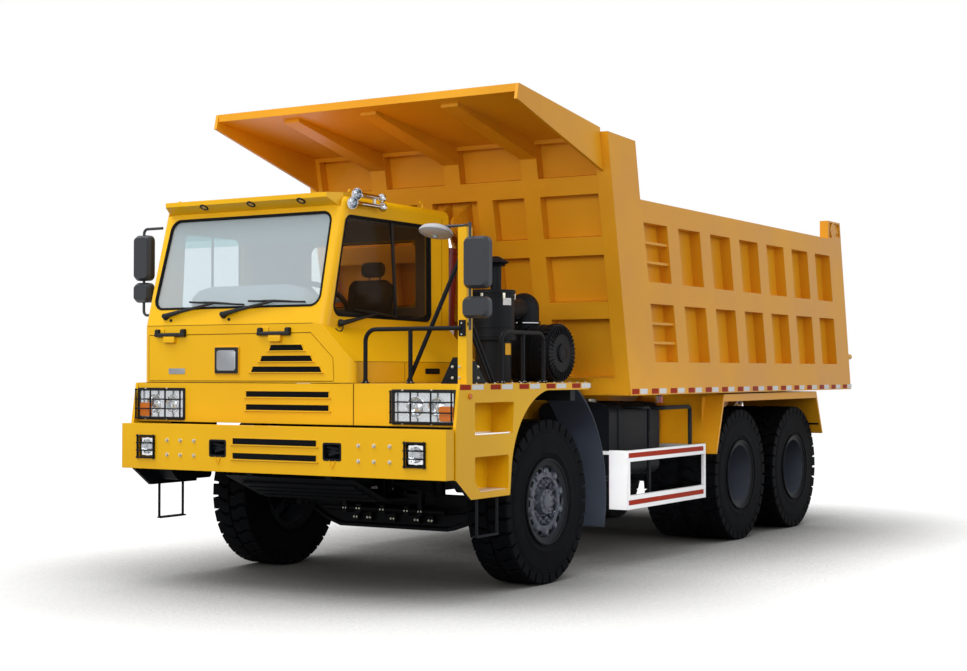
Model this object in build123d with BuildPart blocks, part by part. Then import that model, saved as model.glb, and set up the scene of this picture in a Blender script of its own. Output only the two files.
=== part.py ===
"""Three-axle rigid dump truck for mine haulage: frame, cab, axles, hoist and tipping body.

Millimetres. +X is the truck's left, +Y its rear, +Z up, the ground is Z = 0.
Lengths along the truck are stations: distances behind the bumper's front face.
"""
from build123d import *
from math import cos, radians, sin, tan
import os

os.makedirs("parts", exist_ok=True)

# ---------------------------------------------------------------- driving dimensions
FRONT_Y = -4525.5                 # model Y of the bumper's front face

TYRE_R = 675.0                    # to the tips of the lugs
TYRE_W = 370.0
TREAD_R = 615.0                   # floor of the tread, between the lugs
LUGS = 18
RIM_R = 355.0                     # outside of the rim flange
AXLE_1, AXLE_2, AXLE_3 = 1700.0, 5830.0, 7400.0      # stations of the three axles
HUB_Z = TYRE_R
WHEEL_X = 1320.0                  # middle of a front tyre and of an outer rear tyre
TWIN_PITCH = 430.0                # outer to inner rear tyre
KINGPIN_X = 1055.0

RAIL_X = (350.0, 430.0)           # frame rail, inner and outer face
RAIL_Z = (960.0, 1280.0)
RAIL_S = (150.0, 8340.0)

BUMPER_X = 1600.0
BUMPER_Z = (945.0, 1315.0)
FASCIA_S = 170.0                  # station of the fascia and of the cab's lower front
FASCIA_X = 1610.0
DECK_Z = 1650.0                   # top of the side platforms
CAB_X = (-1530.0, 370.0)
CAB_REAR_S = 2010.0
ROOF_Z = 3150.0

BODY_X = 1634.0                   # outer face of the load body's frame
BODY_Z = 1530.0                   # its lower edge
BODY_S = (2980.0, 8980.0)         # front and rear of the lower edge
CAB_BASE_Z, CAB_FLOOR_Z = 1655.0, 1700.0
LEAN = 11.0                       # degrees that the body's ends lean forward
SIDE_TOP_Z = 3290.0
WALL_TOP_Z = 3825.0
PANEL_X = 1490.0                  # inner face of a side panel
PANEL_T = 34.0
GATE_PIN = (8560.0, 3400.0)       # station and height of the tailgate's pins

GEARBOX_Z = 830.0
TIP_PIN = (8250.0, 1380.0)        # station and height of the body's hinge pin
HOIST_FOOT = (2330.0, 1130.0)
HOIST_HEAD = (2500.0, 3050.0)


# ---------------------------------------------------------------- small helpers
def st(station):
    """Model Y of a station."""
    return FRONT_Y + station


def facing_front(station):
    """The upright plane across the truck at a station, looking forward."""
    return Plane(origin=(0, st(station), 0), x_dir=(1, 0, 0), z_dir=(0, -1, 0))


def block(x, s, z, mode=Mode.ADD):
    """A block of the open part, between two values across, along and up."""
    with Locations(((x[0] + x[1]) / 2, st((s[0] + s[1]) / 2), (z[0] + z[1]) / 2)):
        Box(x[1] - x[0], s[1] - s[0], z[1] - z[0], mode=mode)


def side_plate(x, outline, mode=Mode.ADD):
    """A plate across the truck from x[0] to x[1]; its outline is (station, height) points."""
    with BuildSketch(Plane.YZ.offset(x[0])) as face:
        with BuildLine():
            Polyline(*[(st(s), z) for s, z in outline], close=True)
        make_face()
    extrude(face.sketch, amount=x[1] - x[0], mode=mode)


def front_plate(s, outline, mode=Mode.ADD):
    """A plate along the truck from s[0] to s[1]; its outline is (x, height) points."""
    with BuildSketch(Plane(origin=(0, st(s[1]), 0), x_dir=(1, 0, 0), z_dir=(0, -1, 0))) as face:
        with BuildLine():
            Polyline(*outline, close=True)
        make_face()
    extrude(face.sketch, amount=s[1] - s[0], mode=mode)


def rod(start, end, radius, mode=Mode.ADD):
    """A round bar between two (x, station, height) points."""
    a, b = (Vector(p[0], st(p[1]), p[2]) for p in (start, end))
    with BuildSketch(Plane(origin=a, z_dir=b - a)) as section:
        Circle(radius)
    extrude(section.sketch, amount=(b - a).length, mode=mode)


def cross_rod(x, s, z, radius, mode=Mode.ADD):
    """A round bar across the truck from x[0] to x[1]."""
    rod((x[0], s, z), (x[1], s, z), radius, mode)


def bent_tube(points, radius, bend):
    """A tube through (x, station, height) points, with the same bend at each corner."""
    path_points = [Vector(x, st(s), z) for x, s, z in points]
    with BuildLine() as path:
        FilletPolyline(*path_points, radius=bend)
    with BuildSketch(Plane(origin=path_points[0], z_dir=path_points[1] - path_points[0])) as section:
        Circle(radius)
    sweep(section.sketch, path=path.line)


def save(piece, name):
    """Labels a finished piece and writes its STEP file."""
    piece.part.label = name
    export_step(piece.part, f"parts/{name}.step")


# ---------------------------------------------------------------- frame and running gear
def make_frame():
    with BuildPart() as frame:
        inner, outer = RAIL_X
        low, high = RAIL_Z
        flange = 14.0
        for side in (-1, 1):
            x_in, x_out = sorted((side * inner, side * outer))
            block((x_in, x_out), RAIL_S, RAIL_Z)
            web_in, web_out = sorted((side * inner, side * (outer - flange)))
            block((web_in, web_out), RAIL_S, (low + flange, high - flange), Mode.SUBTRACT)
            # cheek that carries the body's hinge pin
            x_in, x_out = sorted((side * inner, side * (outer + 5)))
            side_plate((x_in, x_out), [(8080, high), (8180, 1440), (8320, 1440), (8340, high),
                                       (8340, 1000), (8080, 1000)])
            cross_rod(sorted((side * inner, side * 512)), *TIP_PIN, 35)
        # cross members: (front station, rear station, lower height, upper height)
        for front, rear, bottom, top in ((160, 270, 990, 1250), (2210, 2450, 1036, 1060),
                                         (3040, 3160, 1060, 1200), (4640, 4760, 1060, 1200),
                                         (6555, 6675, 1060, 1200), (8150, 8270, 1000, 1240)):
            block((flange - outer, outer - flange), (front, rear), (bottom, top))
        # hoist foot bracket: two cheeks on the second cross member
        for side in (-1, 1):
            x_in, x_out = sorted((side * 118, side * 148))
            side_plate((x_in, x_out), [(2230, 1060), (2270, 1180), (2390, 1180), (2430, 1060)])
        # outriggers that carry the cab and the decks: (front, rear)
        for front, rear in ((290, 370), (1964, 2044)):
            block((-1572, 1572), (front, rear), (1500, DECK_Z - 24))
            for side in (-1, 1):
                block(sorted((side * 355, side * 425)), (front, rear), (RAIL_Z[1], 1500))
            for x in (-1400, -900, 200):
                block((x - 60, x + 60), (front, min(rear, CAB_REAR_S)), (DECK_Z - 24, CAB_BASE_Z))
    save(frame, "frame_rails")


def make_engine():
    with BuildPart() as engine:
        block((-330, 330), (520, 1960), (800, 1560))
        fillet(engine.part.edges().filter_by(Axis.Y), 60)
    save(engine, "engine_block")
    with BuildPart() as gearbox:
        # bell housing, gear case and output flange: (front station, rear station, radius)
        for front, rear, radius in ((1960, 2130, 250), (2130, 2800, 165), (2800, 2860, 90)):
            rod((0, front, GEARBOX_Z), (0, rear, GEARBOX_Z), radius)
        rod((0, 2866, GEARBOX_Z), (0, AXLE_2 - 335, HUB_Z), 62)
        rod((0, AXLE_2 + 301, HUB_Z), (0, AXLE_3 - 331, HUB_Z), 55)
    save(gearbox, "drive_line")


def bogie_springs():
    """Leaf packs that rock on a trunnion between the two rear axles."""
    middle = (AXLE_2 + AXLE_3) / 2
    half = (AXLE_3 - AXLE_2) / 2
    for side in (-1, 1):
        x = sorted((side * 470, side * 570))
        for leaf in range(7):
            reach = half + 60 - 105 * leaf
            block(x, (middle - reach, middle + reach), (800 + 18 * leaf, 818 + 18 * leaf))
        side_plate(sorted((side * 430, side * 600)), [
            (middle - 170, 960), (middle - 120, 1240), (middle + 120, 1240), (middle + 170, 960),
            (middle + 120, 926), (middle - 120, 926)])


def make_axles():
    with BuildPart() as axle:
        # forged beam with a dropped middle and an eye at each end for the kingpin
        front_plate((AXLE_1 - 60, AXLE_1 + 60), [
            (-KINGPIN_X, 735), (-920, 735), (-780, 690), (780, 690), (920, 735), (KINGPIN_X, 735),
            (KINGPIN_X, 615), (900, 615), (760, 560), (-760, 560), (-900, 615), (-KINGPIN_X, 615)])
        for side in (-1, 1):
            rod((side * KINGPIN_X, AXLE_1, 605), (side * KINGPIN_X, AXLE_1, 745), 72)
            block(sorted((side * 335, side * 445)), (AXLE_1 - 95, AXLE_1 + 95), (690, 726))
    save(axle, "front_axle")

    with BuildPart() as springs:
        for side in (-1, 1):
            x = sorted((side * 340, side * 440))
            for leaf in range(6):
                reach = 700 - 95 * leaf
                block(x, (AXLE_1 - reach, AXLE_1 + reach), (812 - 16 * leaf, 828 - 16 * leaf))
            block(x, (AXLE_1 - 95, AXLE_1 + 95), (726, 732))
            for end in (-1, 1):
                eye = AXLE_1 + end * 700
                cross_rod(x, eye, 836, 26)
                block(sorted((side * 352, side * 428)), (eye - 50, eye + 50), (850, 960))
        bogie_springs()
    save(springs, "springs")

    with BuildPart() as axle:
        for station in (AXLE_2, AXLE_3):
            cross_rod((-640, 640), station, HUB_Z, 110)
            # differential case: (front, rear, radius) from the axle line
            for front, rear, radius in ((-330, -150, 120), (-150, 150, 250), (150, 300, 95)):
                rod((0, station + front, HUB_Z), (0, station + rear, HUB_Z), radius)
            for side in (-1, 1):
                block(sorted((side * 462, side * 578)), (station - 90, station + 90), (700, 799.5))
    save(axle, "rear_axles")


def make_knuckle(side, name):
    """Steering knuckle: a fork over the beam's eye, and the spindle that the wheel turns on."""
    with BuildPart() as knuckle:
        pin = side * KINGPIN_X
        for z in ((548, 600), (750, 802)):
            rod((pin, AXLE_1, z[0]), (pin, AXLE_1, z[1]), 66)
        yoke = sorted((pin, pin + side * 92))
        block(yoke, (AXLE_1 - 60, AXLE_1 + 60), (548, 600))
        block(yoke, (AXLE_1 - 60, AXLE_1 + 60), (750, 802))
        block(sorted((pin + side * 78, pin + side * 112)), (AXLE_1 - 75, AXLE_1 + 75), (548, 802))
        cross_rod(sorted((pin + side * 112, pin + side * 300)), AXLE_1, HUB_Z, 48)
        # steering arm that reaches back and in
        side_plate(sorted((pin - side * 20, pin + side * 20)), [
            (AXLE_1 + 50, 560), (AXLE_1 + 260, 575), (AXLE_1 + 260, 600), (AXLE_1 + 50, 600)])
    save(knuckle, name)


def ring_solid(outline):
    """A body of revolution about the X axis, from (radius, along) points."""
    with BuildSketch(Plane(origin=(0, 0, 0), x_dir=(0, 1, 0), z_dir=(0, 0, -1))) as section:
        with BuildLine():
            Polyline(*outline, close=True)
        make_face()
    revolve(section.sketch, axis=Axis.X)


def on_axis(along):
    """The plane square to the X axis at a distance along it."""
    return Plane(origin=(along, 0, 0), x_dir=(0, 1, 0), z_dir=(1, 0, 0))


def make_tyre():
    """Earth-mover tyre about the X axis: an angular carcass with a lug on each of its flats."""
    half, bead_r, side_r, shoulder = TYRE_W / 2, RIM_R - 35, 475.0, (20.0, 55.0)
    with BuildPart() as tyre:
        with BuildSketch(on_axis(-half)):
            RegularPolygon(TREAD_R, LUGS, major_radius=False)
            RegularPolygon(bead_r, LUGS, major_radius=False, mode=Mode.SUBTRACT)
        extrude(amount=TYRE_W)
        for side in (0, -1):
            end = tyre.faces().filter_by(Axis.X).sort_by(Axis.X)[side]
            chamfer(end.outer_wire().edges(), shoulder[1], shoulder[0], reference=end)
            end = tyre.faces().filter_by(Axis.X).sort_by(Axis.X)[side]
            chamfer(end.inner_wires()[0].edges(), side_r - bead_r, 35, reference=end)
        lug_half, root = half - shoulder[0], TREAD_R - 8
        with BuildSketch(on_axis(-lug_half)):
            with PolarLocations((TYRE_R + root) / 2, LUGS, start_angle=90):
                Rectangle(TYRE_R - root, 122)
        extrude(amount=2 * lug_half)
    return tyre.part


def rim_well(middle, inner):
    """(radius, along) points of a wheel rim: two flanges, two bead seats and a plain bore."""
    return [(RIM_R, middle + 185), (RIM_R, middle + 168), (RIM_R - 36, middle + 150),
            (RIM_R - 36, middle - 150), (RIM_R, middle - 168), (RIM_R, middle - 185),
            (inner, middle - 168), (inner, middle + 168)]


def make_front_rim():
    """Front wheel about the X axis, its outer side at +X: a rim, a dished disc and a studded hub."""
    running_hole, bore = 56.0, RIM_R - 60
    with BuildPart() as rim:
        ring_solid(rim_well(0, bore))
        ring_solid([(bore + 2, 30), (bore + 2, 60), (235, 104), (118, 104), (100, 176), (0, 176),
                    (0, 78), (running_hole, 78), (running_hole, 40), (150, 80), (235, 80)])
        with BuildSketch(on_axis(0)):
            with PolarLocations(258, 10):
                Circle(24)
        extrude(amount=140, mode=Mode.SUBTRACT)
        # bosses round the hub, which make its edge scalloped
        with BuildSketch(on_axis(90)):
            with PolarLocations(172, 10):
                RegularPolygon(40, 8)
        extrude(amount=52)
    return rim.part


def make_twin_rims():
    """Rear wheels about the X axis: two rims on one hub, with deep-set discs back to back."""
    bore = RIM_R - 55
    with BuildPart() as rims:
        for middle in (0, -TWIN_PITCH):
            ring_solid(rim_well(middle, bore))
        ring_solid([(0, -18), (96, -18), (122, -34), (122, -170), (bore + 2, -146), (bore + 2, -284),
                    (122, -264), (0, -264)])
        with BuildSketch(on_axis(-190)):
            with PolarLocations(160, 10):
                RegularPolygon(22, 6)
        extrude(amount=52)
    return rims.part


def make_wheels():
    tyre, front_rim, twin_rims = make_tyre(), make_front_rim(), make_twin_rims()
    # (side, tag, half turn about Z that puts the wheel's outer side outward)
    for side, tag, turn in ((1, "left", 0), (-1, "right", 180)):
        place = Location((side * WHEEL_X, st(AXLE_1), HUB_Z), (0, 0, turn))
        for name, solid in (("rim", front_rim), ("tyre", tyre)):
            with BuildPart() as wheel:
                with Locations(place):
                    add(solid)
            save(wheel, f"front_{tag}_{name}")
        for number, station in ((1, AXLE_2), (2, AXLE_3)):
            place = Location((side * WHEEL_X, st(station), HUB_Z), (0, 0, turn))
            with BuildPart() as wheels:
                with Locations(place):
                    add(twin_rims)
            save(wheels, f"rear_{tag}_{number}_rims")
            with BuildPart() as wheels:
                for inward in (0, TWIN_PITCH):
                    with Locations((side * (WHEEL_X - inward), st(station), HUB_Z)):
                        add(tyre)
            save(wheels, f"rear_{tag}_{number}_tyres")


# ---------------------------------------------------------------- load body
def lean_s(height):
    """How far forward the leaning ends have come at a height."""
    return (height - BODY_Z) * tan(radians(LEAN))


def wall_s(height):
    """Station of the front wall's front face at a height."""
    return BODY_S[0] - lean_s(height)


def leaning(points):
    """(station at the body's lower edge, height) points moved forward with the lean."""
    return [(s - lean_s(z), z) for s, z in points]


POST_S = 541.0                    # width of the front corner post, seen from the side
TIER_Z = ((1830.0, 2360.0), (2560.0, 3090.0))        # lower and upper row of side panels
BAY_FIRST, BAY_PITCH, BAY_W, BAYS = 3550.0, 748.0, 500.0, 7
FLOOR_Z = (1600.0, 1640.0)
WALL_DEPTH = 100.0                # ribs of the front wall
WALL_T = 30.0


def make_side(side, name):
    """One side of the load body: a skin, and a frame of posts and rails outside it."""
    with BuildPart() as panel:
        skin_out = PANEL_X + PANEL_T
        outline = leaning([(BODY_S[0], BODY_Z), (BODY_S[1], BODY_Z), (BODY_S[1], SIDE_TOP_Z),
                           (BODY_S[0] + POST_S, SIDE_TOP_Z), (BODY_S[0] + POST_S, WALL_TOP_Z - 20),
                           (BODY_S[0], WALL_TOP_Z)])
        side_plate(sorted((side * PANEL_X, side * BODY_X)), outline)
        for low, high in TIER_Z:
            for bay in range(BAYS):
                front = BAY_FIRST + bay * BAY_PITCH
                side_plate(sorted((side * skin_out, side * BODY_X)), leaning(
                    [(front, low), (front + BAY_W, low), (front + BAY_W, high), (front, high)]),
                    Mode.SUBTRACT)
            # rungs in the first bay, to climb by
            for part in (1 / 3, 2 / 3):
                z = low + part * (high - low)
                front = BAY_FIRST - lean_s(z)
                block(sorted((side * 1588, side * 1618)), (front - 5, front + BAY_W + 5), (z - 12, z + 12))
        # latch stub for the tailgate's foot
        rod((side * 1585, 8880, 1920), (side * 1585, 9075, 1920), 32)
        # ear for the tailgate's pin, on top of the tail post
        ear = sorted((side * 1534, side * BODY_X))
        side_plate(ear, [(8190, SIDE_TOP_Z), (8190, 3500), (8600, 3500), (8640, SIDE_TOP_Z)])
        # the hook-shaped strap on the ear's outer face stands between two sunk fields
        sunk = sorted((side * (BODY_X - 22), side * (BODY_X + 2)))
        for field in ([(8330, 3480), (8235, 3480), (8235, 3310), (8330, 3310), (8265, 3400)],
                      [(8400, 3478), (8575, 3478), (8600, 3330), (8400, 3330), (8480, 3380)]):
            side_plate(sunk, field, Mode.SUBTRACT)
        cross_rod(sorted((side * 1430, side * 1534)), *GATE_PIN, 30)
    save(panel, name)


def make_body():
    with BuildPart() as floor:
        behind = (WALL_DEPTH + WALL_T) / cos(radians(LEAN))
        front = BODY_S[0] + behind
        side_plate((-PANEL_X, PANEL_X), [
            (wall_s(FLOOR_Z[0]) + behind, FLOOR_Z[0]), (BODY_S[1] - 20, FLOOR_Z[0]),
            (BODY_S[1] - 20, FLOOR_Z[1]), (wall_s(FLOOR_Z[1]) + behind, FLOOR_Z[1])])
        cross_z = (BODY_Z + 5, FLOOR_Z[0])
        for number in range(11):
            s = 3300 + number * 540
            block((-PANEL_X, PANEL_X), (s - 40, s + 40), cross_z)
        for side in (-1, 1):
            block(sorted((side * 345, side * 435)), (front, 8070), (1288, FLOOR_Z[0]))
            # hinge ears outside the frame's cheeks
            side_plate(sorted((side * 450, side * 500)), [
                (7960, FLOOR_Z[0]), (8190, 1320), (8310, 1320), (8560, FLOOR_Z[0])])
            cross_rod(sorted((side * 450, side * 500)), *TIP_PIN, 82)
            cross_rod(sorted((side * 440, side * 510)), *TIP_PIN, 36, Mode.SUBTRACT)
    save(floor, "body_floor")

    make_side(1, "body_side_left")
    make_side(-1, "body_side_right")

    with BuildPart() as wall:
        lean = radians(LEAN)
        face = Plane(origin=(0, st(BODY_S[0]), BODY_Z), x_dir=(1, 0, 0), z_dir=(0, -cos(lean), -sin(lean)))
        height = (WALL_TOP_Z - BODY_Z) / cos(lean)
        with BuildSketch(face.offset(-WALL_DEPTH - WALL_T)) as sheet:
            with Locations((0, height / 2)):
                Rectangle(2 * PANEL_X, height)
        extrude(sheet.sketch, amount=WALL_DEPTH + WALL_T)
        # bays between the ribs: (lower height, upper height, half-open spans across)
        inner, outer = (410.0, 740.0), (905.0, PANEL_X)
        for low, high, spans in ((1685, 2210, (inner, outer)), (2360, 2770, (inner, outer)),
                                 (2930, 3300, (inner, outer)), (3460, 3760, ((85.0, 735.0), outer))):
            across = [span for x in spans for span in (x, (-x[1], -x[0]))]
            if high < 3400:
                across.append((-245.0, 245.0))
            with BuildSketch(face) as bay:
                for x in across:
                    with Locations(((x[0] + x[1]) / 2, ((low + high) / 2 - BODY_Z) / cos(lean))):
                        Rectangle(x[1] - x[0], (high - low) / cos(lean))
            extrude(bay.sketch, amount=-WALL_DEPTH, mode=Mode.SUBTRACT)
        # notch in the lowest rib, for the hoist when the body is up
        with BuildSketch(face) as notch:
            with Locations((0, 60)):
                Rectangle(330, 320)
        extrude(notch.sketch, amount=-WALL_DEPTH, mode=Mode.SUBTRACT)
        # hoist bracket: two cheeks that hold the ends of the hoist's cross pin
        s, z = HOIST_HEAD
        for side in (-1, 1):
            side_plate(sorted((side * 92, side * 122)), [
                (s - 75, z - 40), (s - 75, z + 60), (s - 40, z + 95), (2980 - lean_s(z + 240) + 104, z + 240),
                (2980 - lean_s(z - 240) + 104, z - 240)])
            cross_rod(sorted((side * 122, side * 140)), s, z, 55)
    save(wall, "body_front_wall")

    with BuildPart() as canopy:
        # roof over the cab: a plate that climbs forward, two side gussets and three ribs
        back = [(wall_s(z), z) for z in (3862, 3797)]
        side_plate((-1564, 1564), [(1125, 3970), (1125, 4035), *back])
        for side in (-1, 1):
            side_plate(sorted((side * 1534, side * 1564)), [
                (1095, 3905), (1125, 4035), back[0], (wall_s(3490), 3490)])
        for x in (-820, 0, 820):
            side_plate((x - 82, x + 82), [(1260, 3925), (1260, 3965), back[1], (wall_s(3640), 3640)])
    save(canopy, "body_canopy")

    with BuildPart() as gate:
        half = PANEL_X - 8
        rear = BODY_S[1] - 6
        front, skin = rear - 110, rear - 76
        low, high = 1652, 3250
        side_plate((-half, half), leaning([(front, low), (skin, low), (skin, high), (front, high)]))
        for number in range(5):
            x = -half + 60 + number * (half - 60) / 2
            side_plate((x - 60, x + 60), leaning([(skin, low), (rear, low), (rear, high), (skin, high)]))
        for z in (low, 2380, high - 120):
            side_plate((-half, half), leaning([(skin, z), (rear, z), (rear, z + 120), (skin, z + 120)]))
        for side in (-1, 1):
            arm = sorted((side * 1440, side * 1480))
            s, z = GATE_PIN
            side_plate(arm, [(s - 70, z), (s - 50, z + 50), (s + 50, z + 50), (s + 70, z),
                             (rear - lean_s(high), high), (front - lean_s(high), high)])
            cross_rod(arm, s, z, 31, Mode.SUBTRACT)
    save(gate, "tailgate")


# ---------------------------------------------------------------- hoist
def make_hoist():
    """Telescopic cylinder: the tube on the frame and four stages that slide out of it."""
    foot = Vector(0, st(HOIST_FOOT[0]), HOIST_FOOT[1])
    head = Vector(0, st(HOIST_HEAD[0]), HOIST_HEAD[1])
    line = head - foot
    length = line.length
    up = line.normalized()
    # (name, start along the line, end, outer radius, inner radius)
    stages = (("hoist_tube", 95, length - 190, 112, 103), ("hoist_stage_1", 110, length - 165, 102, 91),
              ("hoist_stage_2", 120, length - 140, 90, 79), ("hoist_stage_3", 130, length - 115, 78, 67),
              ("hoist_stage_4", 140, length, 66, 0))
    for name, start, end, outer, inner in stages:
        with BuildPart() as stage:
            with BuildSketch(Plane(origin=foot + up * start, z_dir=up)) as ring:
                Circle(outer)
                if inner:
                    Circle(inner, mode=Mode.SUBTRACT)
            extrude(ring.sketch, amount=end - start - (60 if name == "hoist_stage_4" else 0))
            if name == "hoist_tube":
                with BuildSketch(Plane(origin=foot + up * 60, z_dir=up)) as base:
                    Circle(112)
                extrude(base.sketch, amount=36)
                cross_rod((-110, 110), *HOIST_FOOT, 62)
                s, z = HOIST_FOOT
                block((-80, 80), (s - 40, s + 50), (z, z + 70))
            if name == "hoist_stage_4":
                cross_rod((-84, 84), *HOIST_HEAD, 62)
        save(stage, name)


# ---------------------------------------------------------------- cab
CAB_WALL = 55.0
CAB_MID_X = (CAB_X[0] + CAB_X[1]) / 2
SCREEN_FOOT_Z = 2125.0            # the front leans back above this height
SCREEN_LEAN = 15.3                # degrees
FLARE_X, FLARE_Z = 640.0, 1820.0  # the left side widens below the window
HATCH = [(-1462, 2041), (230, 2045), (445, 1848), (455, 1670), (-1460, 1668)]
HATCH_PIN = (FASCIA_S - 20, 2066.0)
DOOR_S, DOOR_Z = (520.0, 1500.0), (1720.0, 3010.0)
DOOR_PIN = (CAB_X[0] - 15, DOOR_S[0] - 6)
SCREEN = [(-862, 145), (862, 145), (835, 925), (-835, 925)]            # (across, up the slope)
SIDE_WINDOW = [(270, 2190), (1670, 2175), (1660, 2985), (455, 2985)]
DOOR_WINDOW = [(600, 2260), (1410, 2260), (1410, 2940), (640, 2940)]
REAR_WINDOW = [(-1180, 2320), (20, 2320), (20, 2900), (-1180, 2900)]
EYE_X, EYE_S, EYE_Z = (-1200.0, 40.0), (1050.0, 1800.0), 3176.0         # holes of the lifting eyes
EYE_R, EYE_T = 14.0, 14.0

slope = radians(SCREEN_LEAN)
screen_plane = Plane(origin=(CAB_MID_X, st(FASCIA_S), SCREEN_FOOT_Z), x_dir=(1, 0, 0),
                     z_dir=(0, -cos(slope), sin(slope)))
left_plane = Plane.YZ.offset(CAB_X[1])
right_plane = Plane.YZ.offset(CAB_X[0])
rear_plane = facing_front(CAB_REAR_S)


def screen_s(height):
    """Station of the windscreen's plane at a height."""
    return FASCIA_S + (height - SCREEN_FOOT_Z) * tan(slope)


def pane(plane, outline, corner, low, high, grow=0.0, mode=Mode.ADD):
    """A plate with rounded corners on a plane, from low to high along its normal."""
    with BuildSketch(plane.offset(low)) as face:
        with BuildLine():
            Polyline(*outline, close=True)
        make_face()
        if grow:
            offset(amount=grow, kind=Kind.INTERSECTION)
        fillet(face.vertices(), corner + grow)
    extrude(face.sketch, amount=high - low, mode=mode)


def on_side(outline):
    """(station, height) points in the local axes of a YZ plane."""
    return [(st(s), z) for s, z in outline]


WINDOWS = (                       # (plane, outline, corner radius, depth of the hole)
    (screen_plane, SCREEN, 85, (-80, 20)),
    (left_plane, on_side(SIDE_WINDOW), 70, (-70, 20)),
    (rear_plane, REAR_WINDOW, 80, (-20, 70)))


def make_cab():
    x_low, x_high = CAB_X
    roof_front = screen_s(ROOF_Z)
    with BuildPart() as flare:
        front_plate((FASCIA_S, CAB_REAR_S - 20), [
            (290, CAB_BASE_Z), (FLARE_X, CAB_BASE_Z), (FLARE_X, FLARE_Z), (345, 2118), (290, 2118)])
        with BuildSketch(Plane.XY.offset(CAB_BASE_Z)) as plan:
            with BuildLine():
                Polyline((290, st(FASCIA_S)), (FLARE_X, st(FASCIA_S)), (FLARE_X, st(CAB_REAR_S)),
                         (290, st(CAB_REAR_S)), close=True)
            make_face()
            fillet(plan.vertices().sort_by(Axis.Y)[:2].sort_by(Axis.X)[-1], 55)
        extrude(plan.sketch, amount=500, mode=Mode.INTERSECT)
    with BuildPart() as cab:
        side_plate(CAB_X, [(FASCIA_S, CAB_BASE_Z), (FASCIA_S, SCREEN_FOOT_Z), (roof_front, ROOF_Z),
                           (CAB_REAR_S, ROOF_Z), (CAB_REAR_S, CAB_BASE_Z)])
        ends = cab.edges().filter_by(Axis.X, reverse=True)
        tops = cab.edges().filter_by(Axis.X).group_by(Axis.Z)[-2:]
        soft = [e for e in ends if e.center().Z > CAB_BASE_Z + 1] + [e for group in tops for e in group]
        fillet(soft, 70)
        add(flare.part)
        # the room inside, with the cowl shelf over the service hatch's pocket
        shelf_s, wall = FASCIA_S + 190, CAB_WALL + 2
        shelf_z, ceiling_z = SCREEN_FOOT_Z + 5, ROOF_Z - 62
        side_plate((x_low + CAB_WALL, x_high - CAB_WALL), [
            (shelf_s, CAB_FLOOR_Z), (shelf_s, shelf_z), (screen_s(shelf_z) + wall, shelf_z),
            (screen_s(ceiling_z) + wall, ceiling_z), (CAB_REAR_S - CAB_WALL, ceiling_z),
            (CAB_REAR_S - CAB_WALL, CAB_FLOOR_Z)], Mode.SUBTRACT)
        for plane, outline, corner, depth in WINDOWS:
            pane(plane, outline, corner, *depth, mode=Mode.SUBTRACT)
        # service hatch: a rebate for the panel, and the pocket behind it
        pane(facing_front(FASCIA_S), HATCH, 12, -26, 10, grow=6, mode=Mode.SUBTRACT)
        pane(facing_front(FASCIA_S), HATCH, 52, -150, -20, grow=-40, mode=Mode.SUBTRACT)
        # doorway in the right side
        side_plate((x_low - 20, x_low + CAB_WALL + 20), [
            (DOOR_S[0] - 6, DOOR_Z[0] - 6), (DOOR_S[1] + 6, DOOR_Z[0] - 6),
            (DOOR_S[1] + 6, DOOR_Z[1] + 6), (DOOR_S[0] - 6, DOOR_Z[1] + 6)], Mode.SUBTRACT)
        # sun visor over the windscreen, narrower at its front corners
        side_plate((CAB_MID_X - 900, CAB_MID_X + 900), [
            (screen_s(3070) + 20, 3070), (screen_s(3070), 3070), (roof_front - 125, 3128),
            (roof_front - 125, 3166), (roof_front + 160, 3182), (roof_front + 160, 3130)])
        for side in (-1, 1):
            with BuildSketch(Plane.XY.offset(3060)) as corner:
                with BuildLine():
                    edge = CAB_MID_X + side * 905
                    Polyline((edge, st(roof_front + 40)), (edge - side * 60, st(roof_front - 130)),
                             (edge, st(roof_front - 130)), close=True)
                make_face()
            extrude(corner.sketch, amount=130, mode=Mode.SUBTRACT)
        # lifting eyes on the roof
        for x in EYE_X:
            for station in EYE_S:
                side_plate((x - EYE_T / 2, x + EYE_T / 2), [
                    (station - 45, ROOF_Z - 20), (station + 45, ROOF_Z - 20),
                    (station + 24, EYE_Z + 24), (station - 24, EYE_Z + 24)])
                cross_rod((x - EYE_T, x + EYE_T), station, EYE_Z, EYE_R, Mode.SUBTRACT)
        # fixed halves of the hatch's and the door's hinges
        for x in (-1330, -225):
            block((x - 40, x + 40), (FASCIA_S - 8, FASCIA_S), (2052, 2096))
        for z in (1960, 2780):
            with Locations((DOOR_PIN[0], st(DOOR_PIN[1]), z)):
                Cylinder(13, 80)
            block((DOOR_PIN[0], x_low), (DOOR_PIN[1] - 30, DOOR_PIN[1] - 4), (z - 40, z + 40))
    save(cab, "cab_shell")

    with BuildPart() as glass:
        for plane, outline, corner, depth in WINDOWS:
            low, high = (-22, -14) if depth[0] < -20 else (14, 22)
            pane(plane, outline, corner, low, high)
    save(glass, "cab_glass")

    with BuildPart() as door:
        x = (x_low, x_low + 48)
        block(x, DOOR_S, DOOR_Z)
        pane(right_plane, on_side(DOOR_WINDOW), 60, -20, 70, mode=Mode.SUBTRACT)
        # handle
        block((x_low - 26, x_low), (1380, 1400), (2040, 2075))
        block((x_low - 26, x_low), (1270, 1290), (2040, 2075))
        block((x_low - 34, x_low - 22), (1270, 1400), (2040, 2075))
        for z in (1960, 2780):
            with Locations((DOOR_PIN[0], st(DOOR_PIN[1]), z + 62)):
                Cylinder(13, 36)
            block((DOOR_PIN[0], x_low + 5), (DOOR_PIN[1] + 4, DOOR_S[0] + 40), (z + 44, z + 80))
    save(door, "cab_door")

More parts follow.
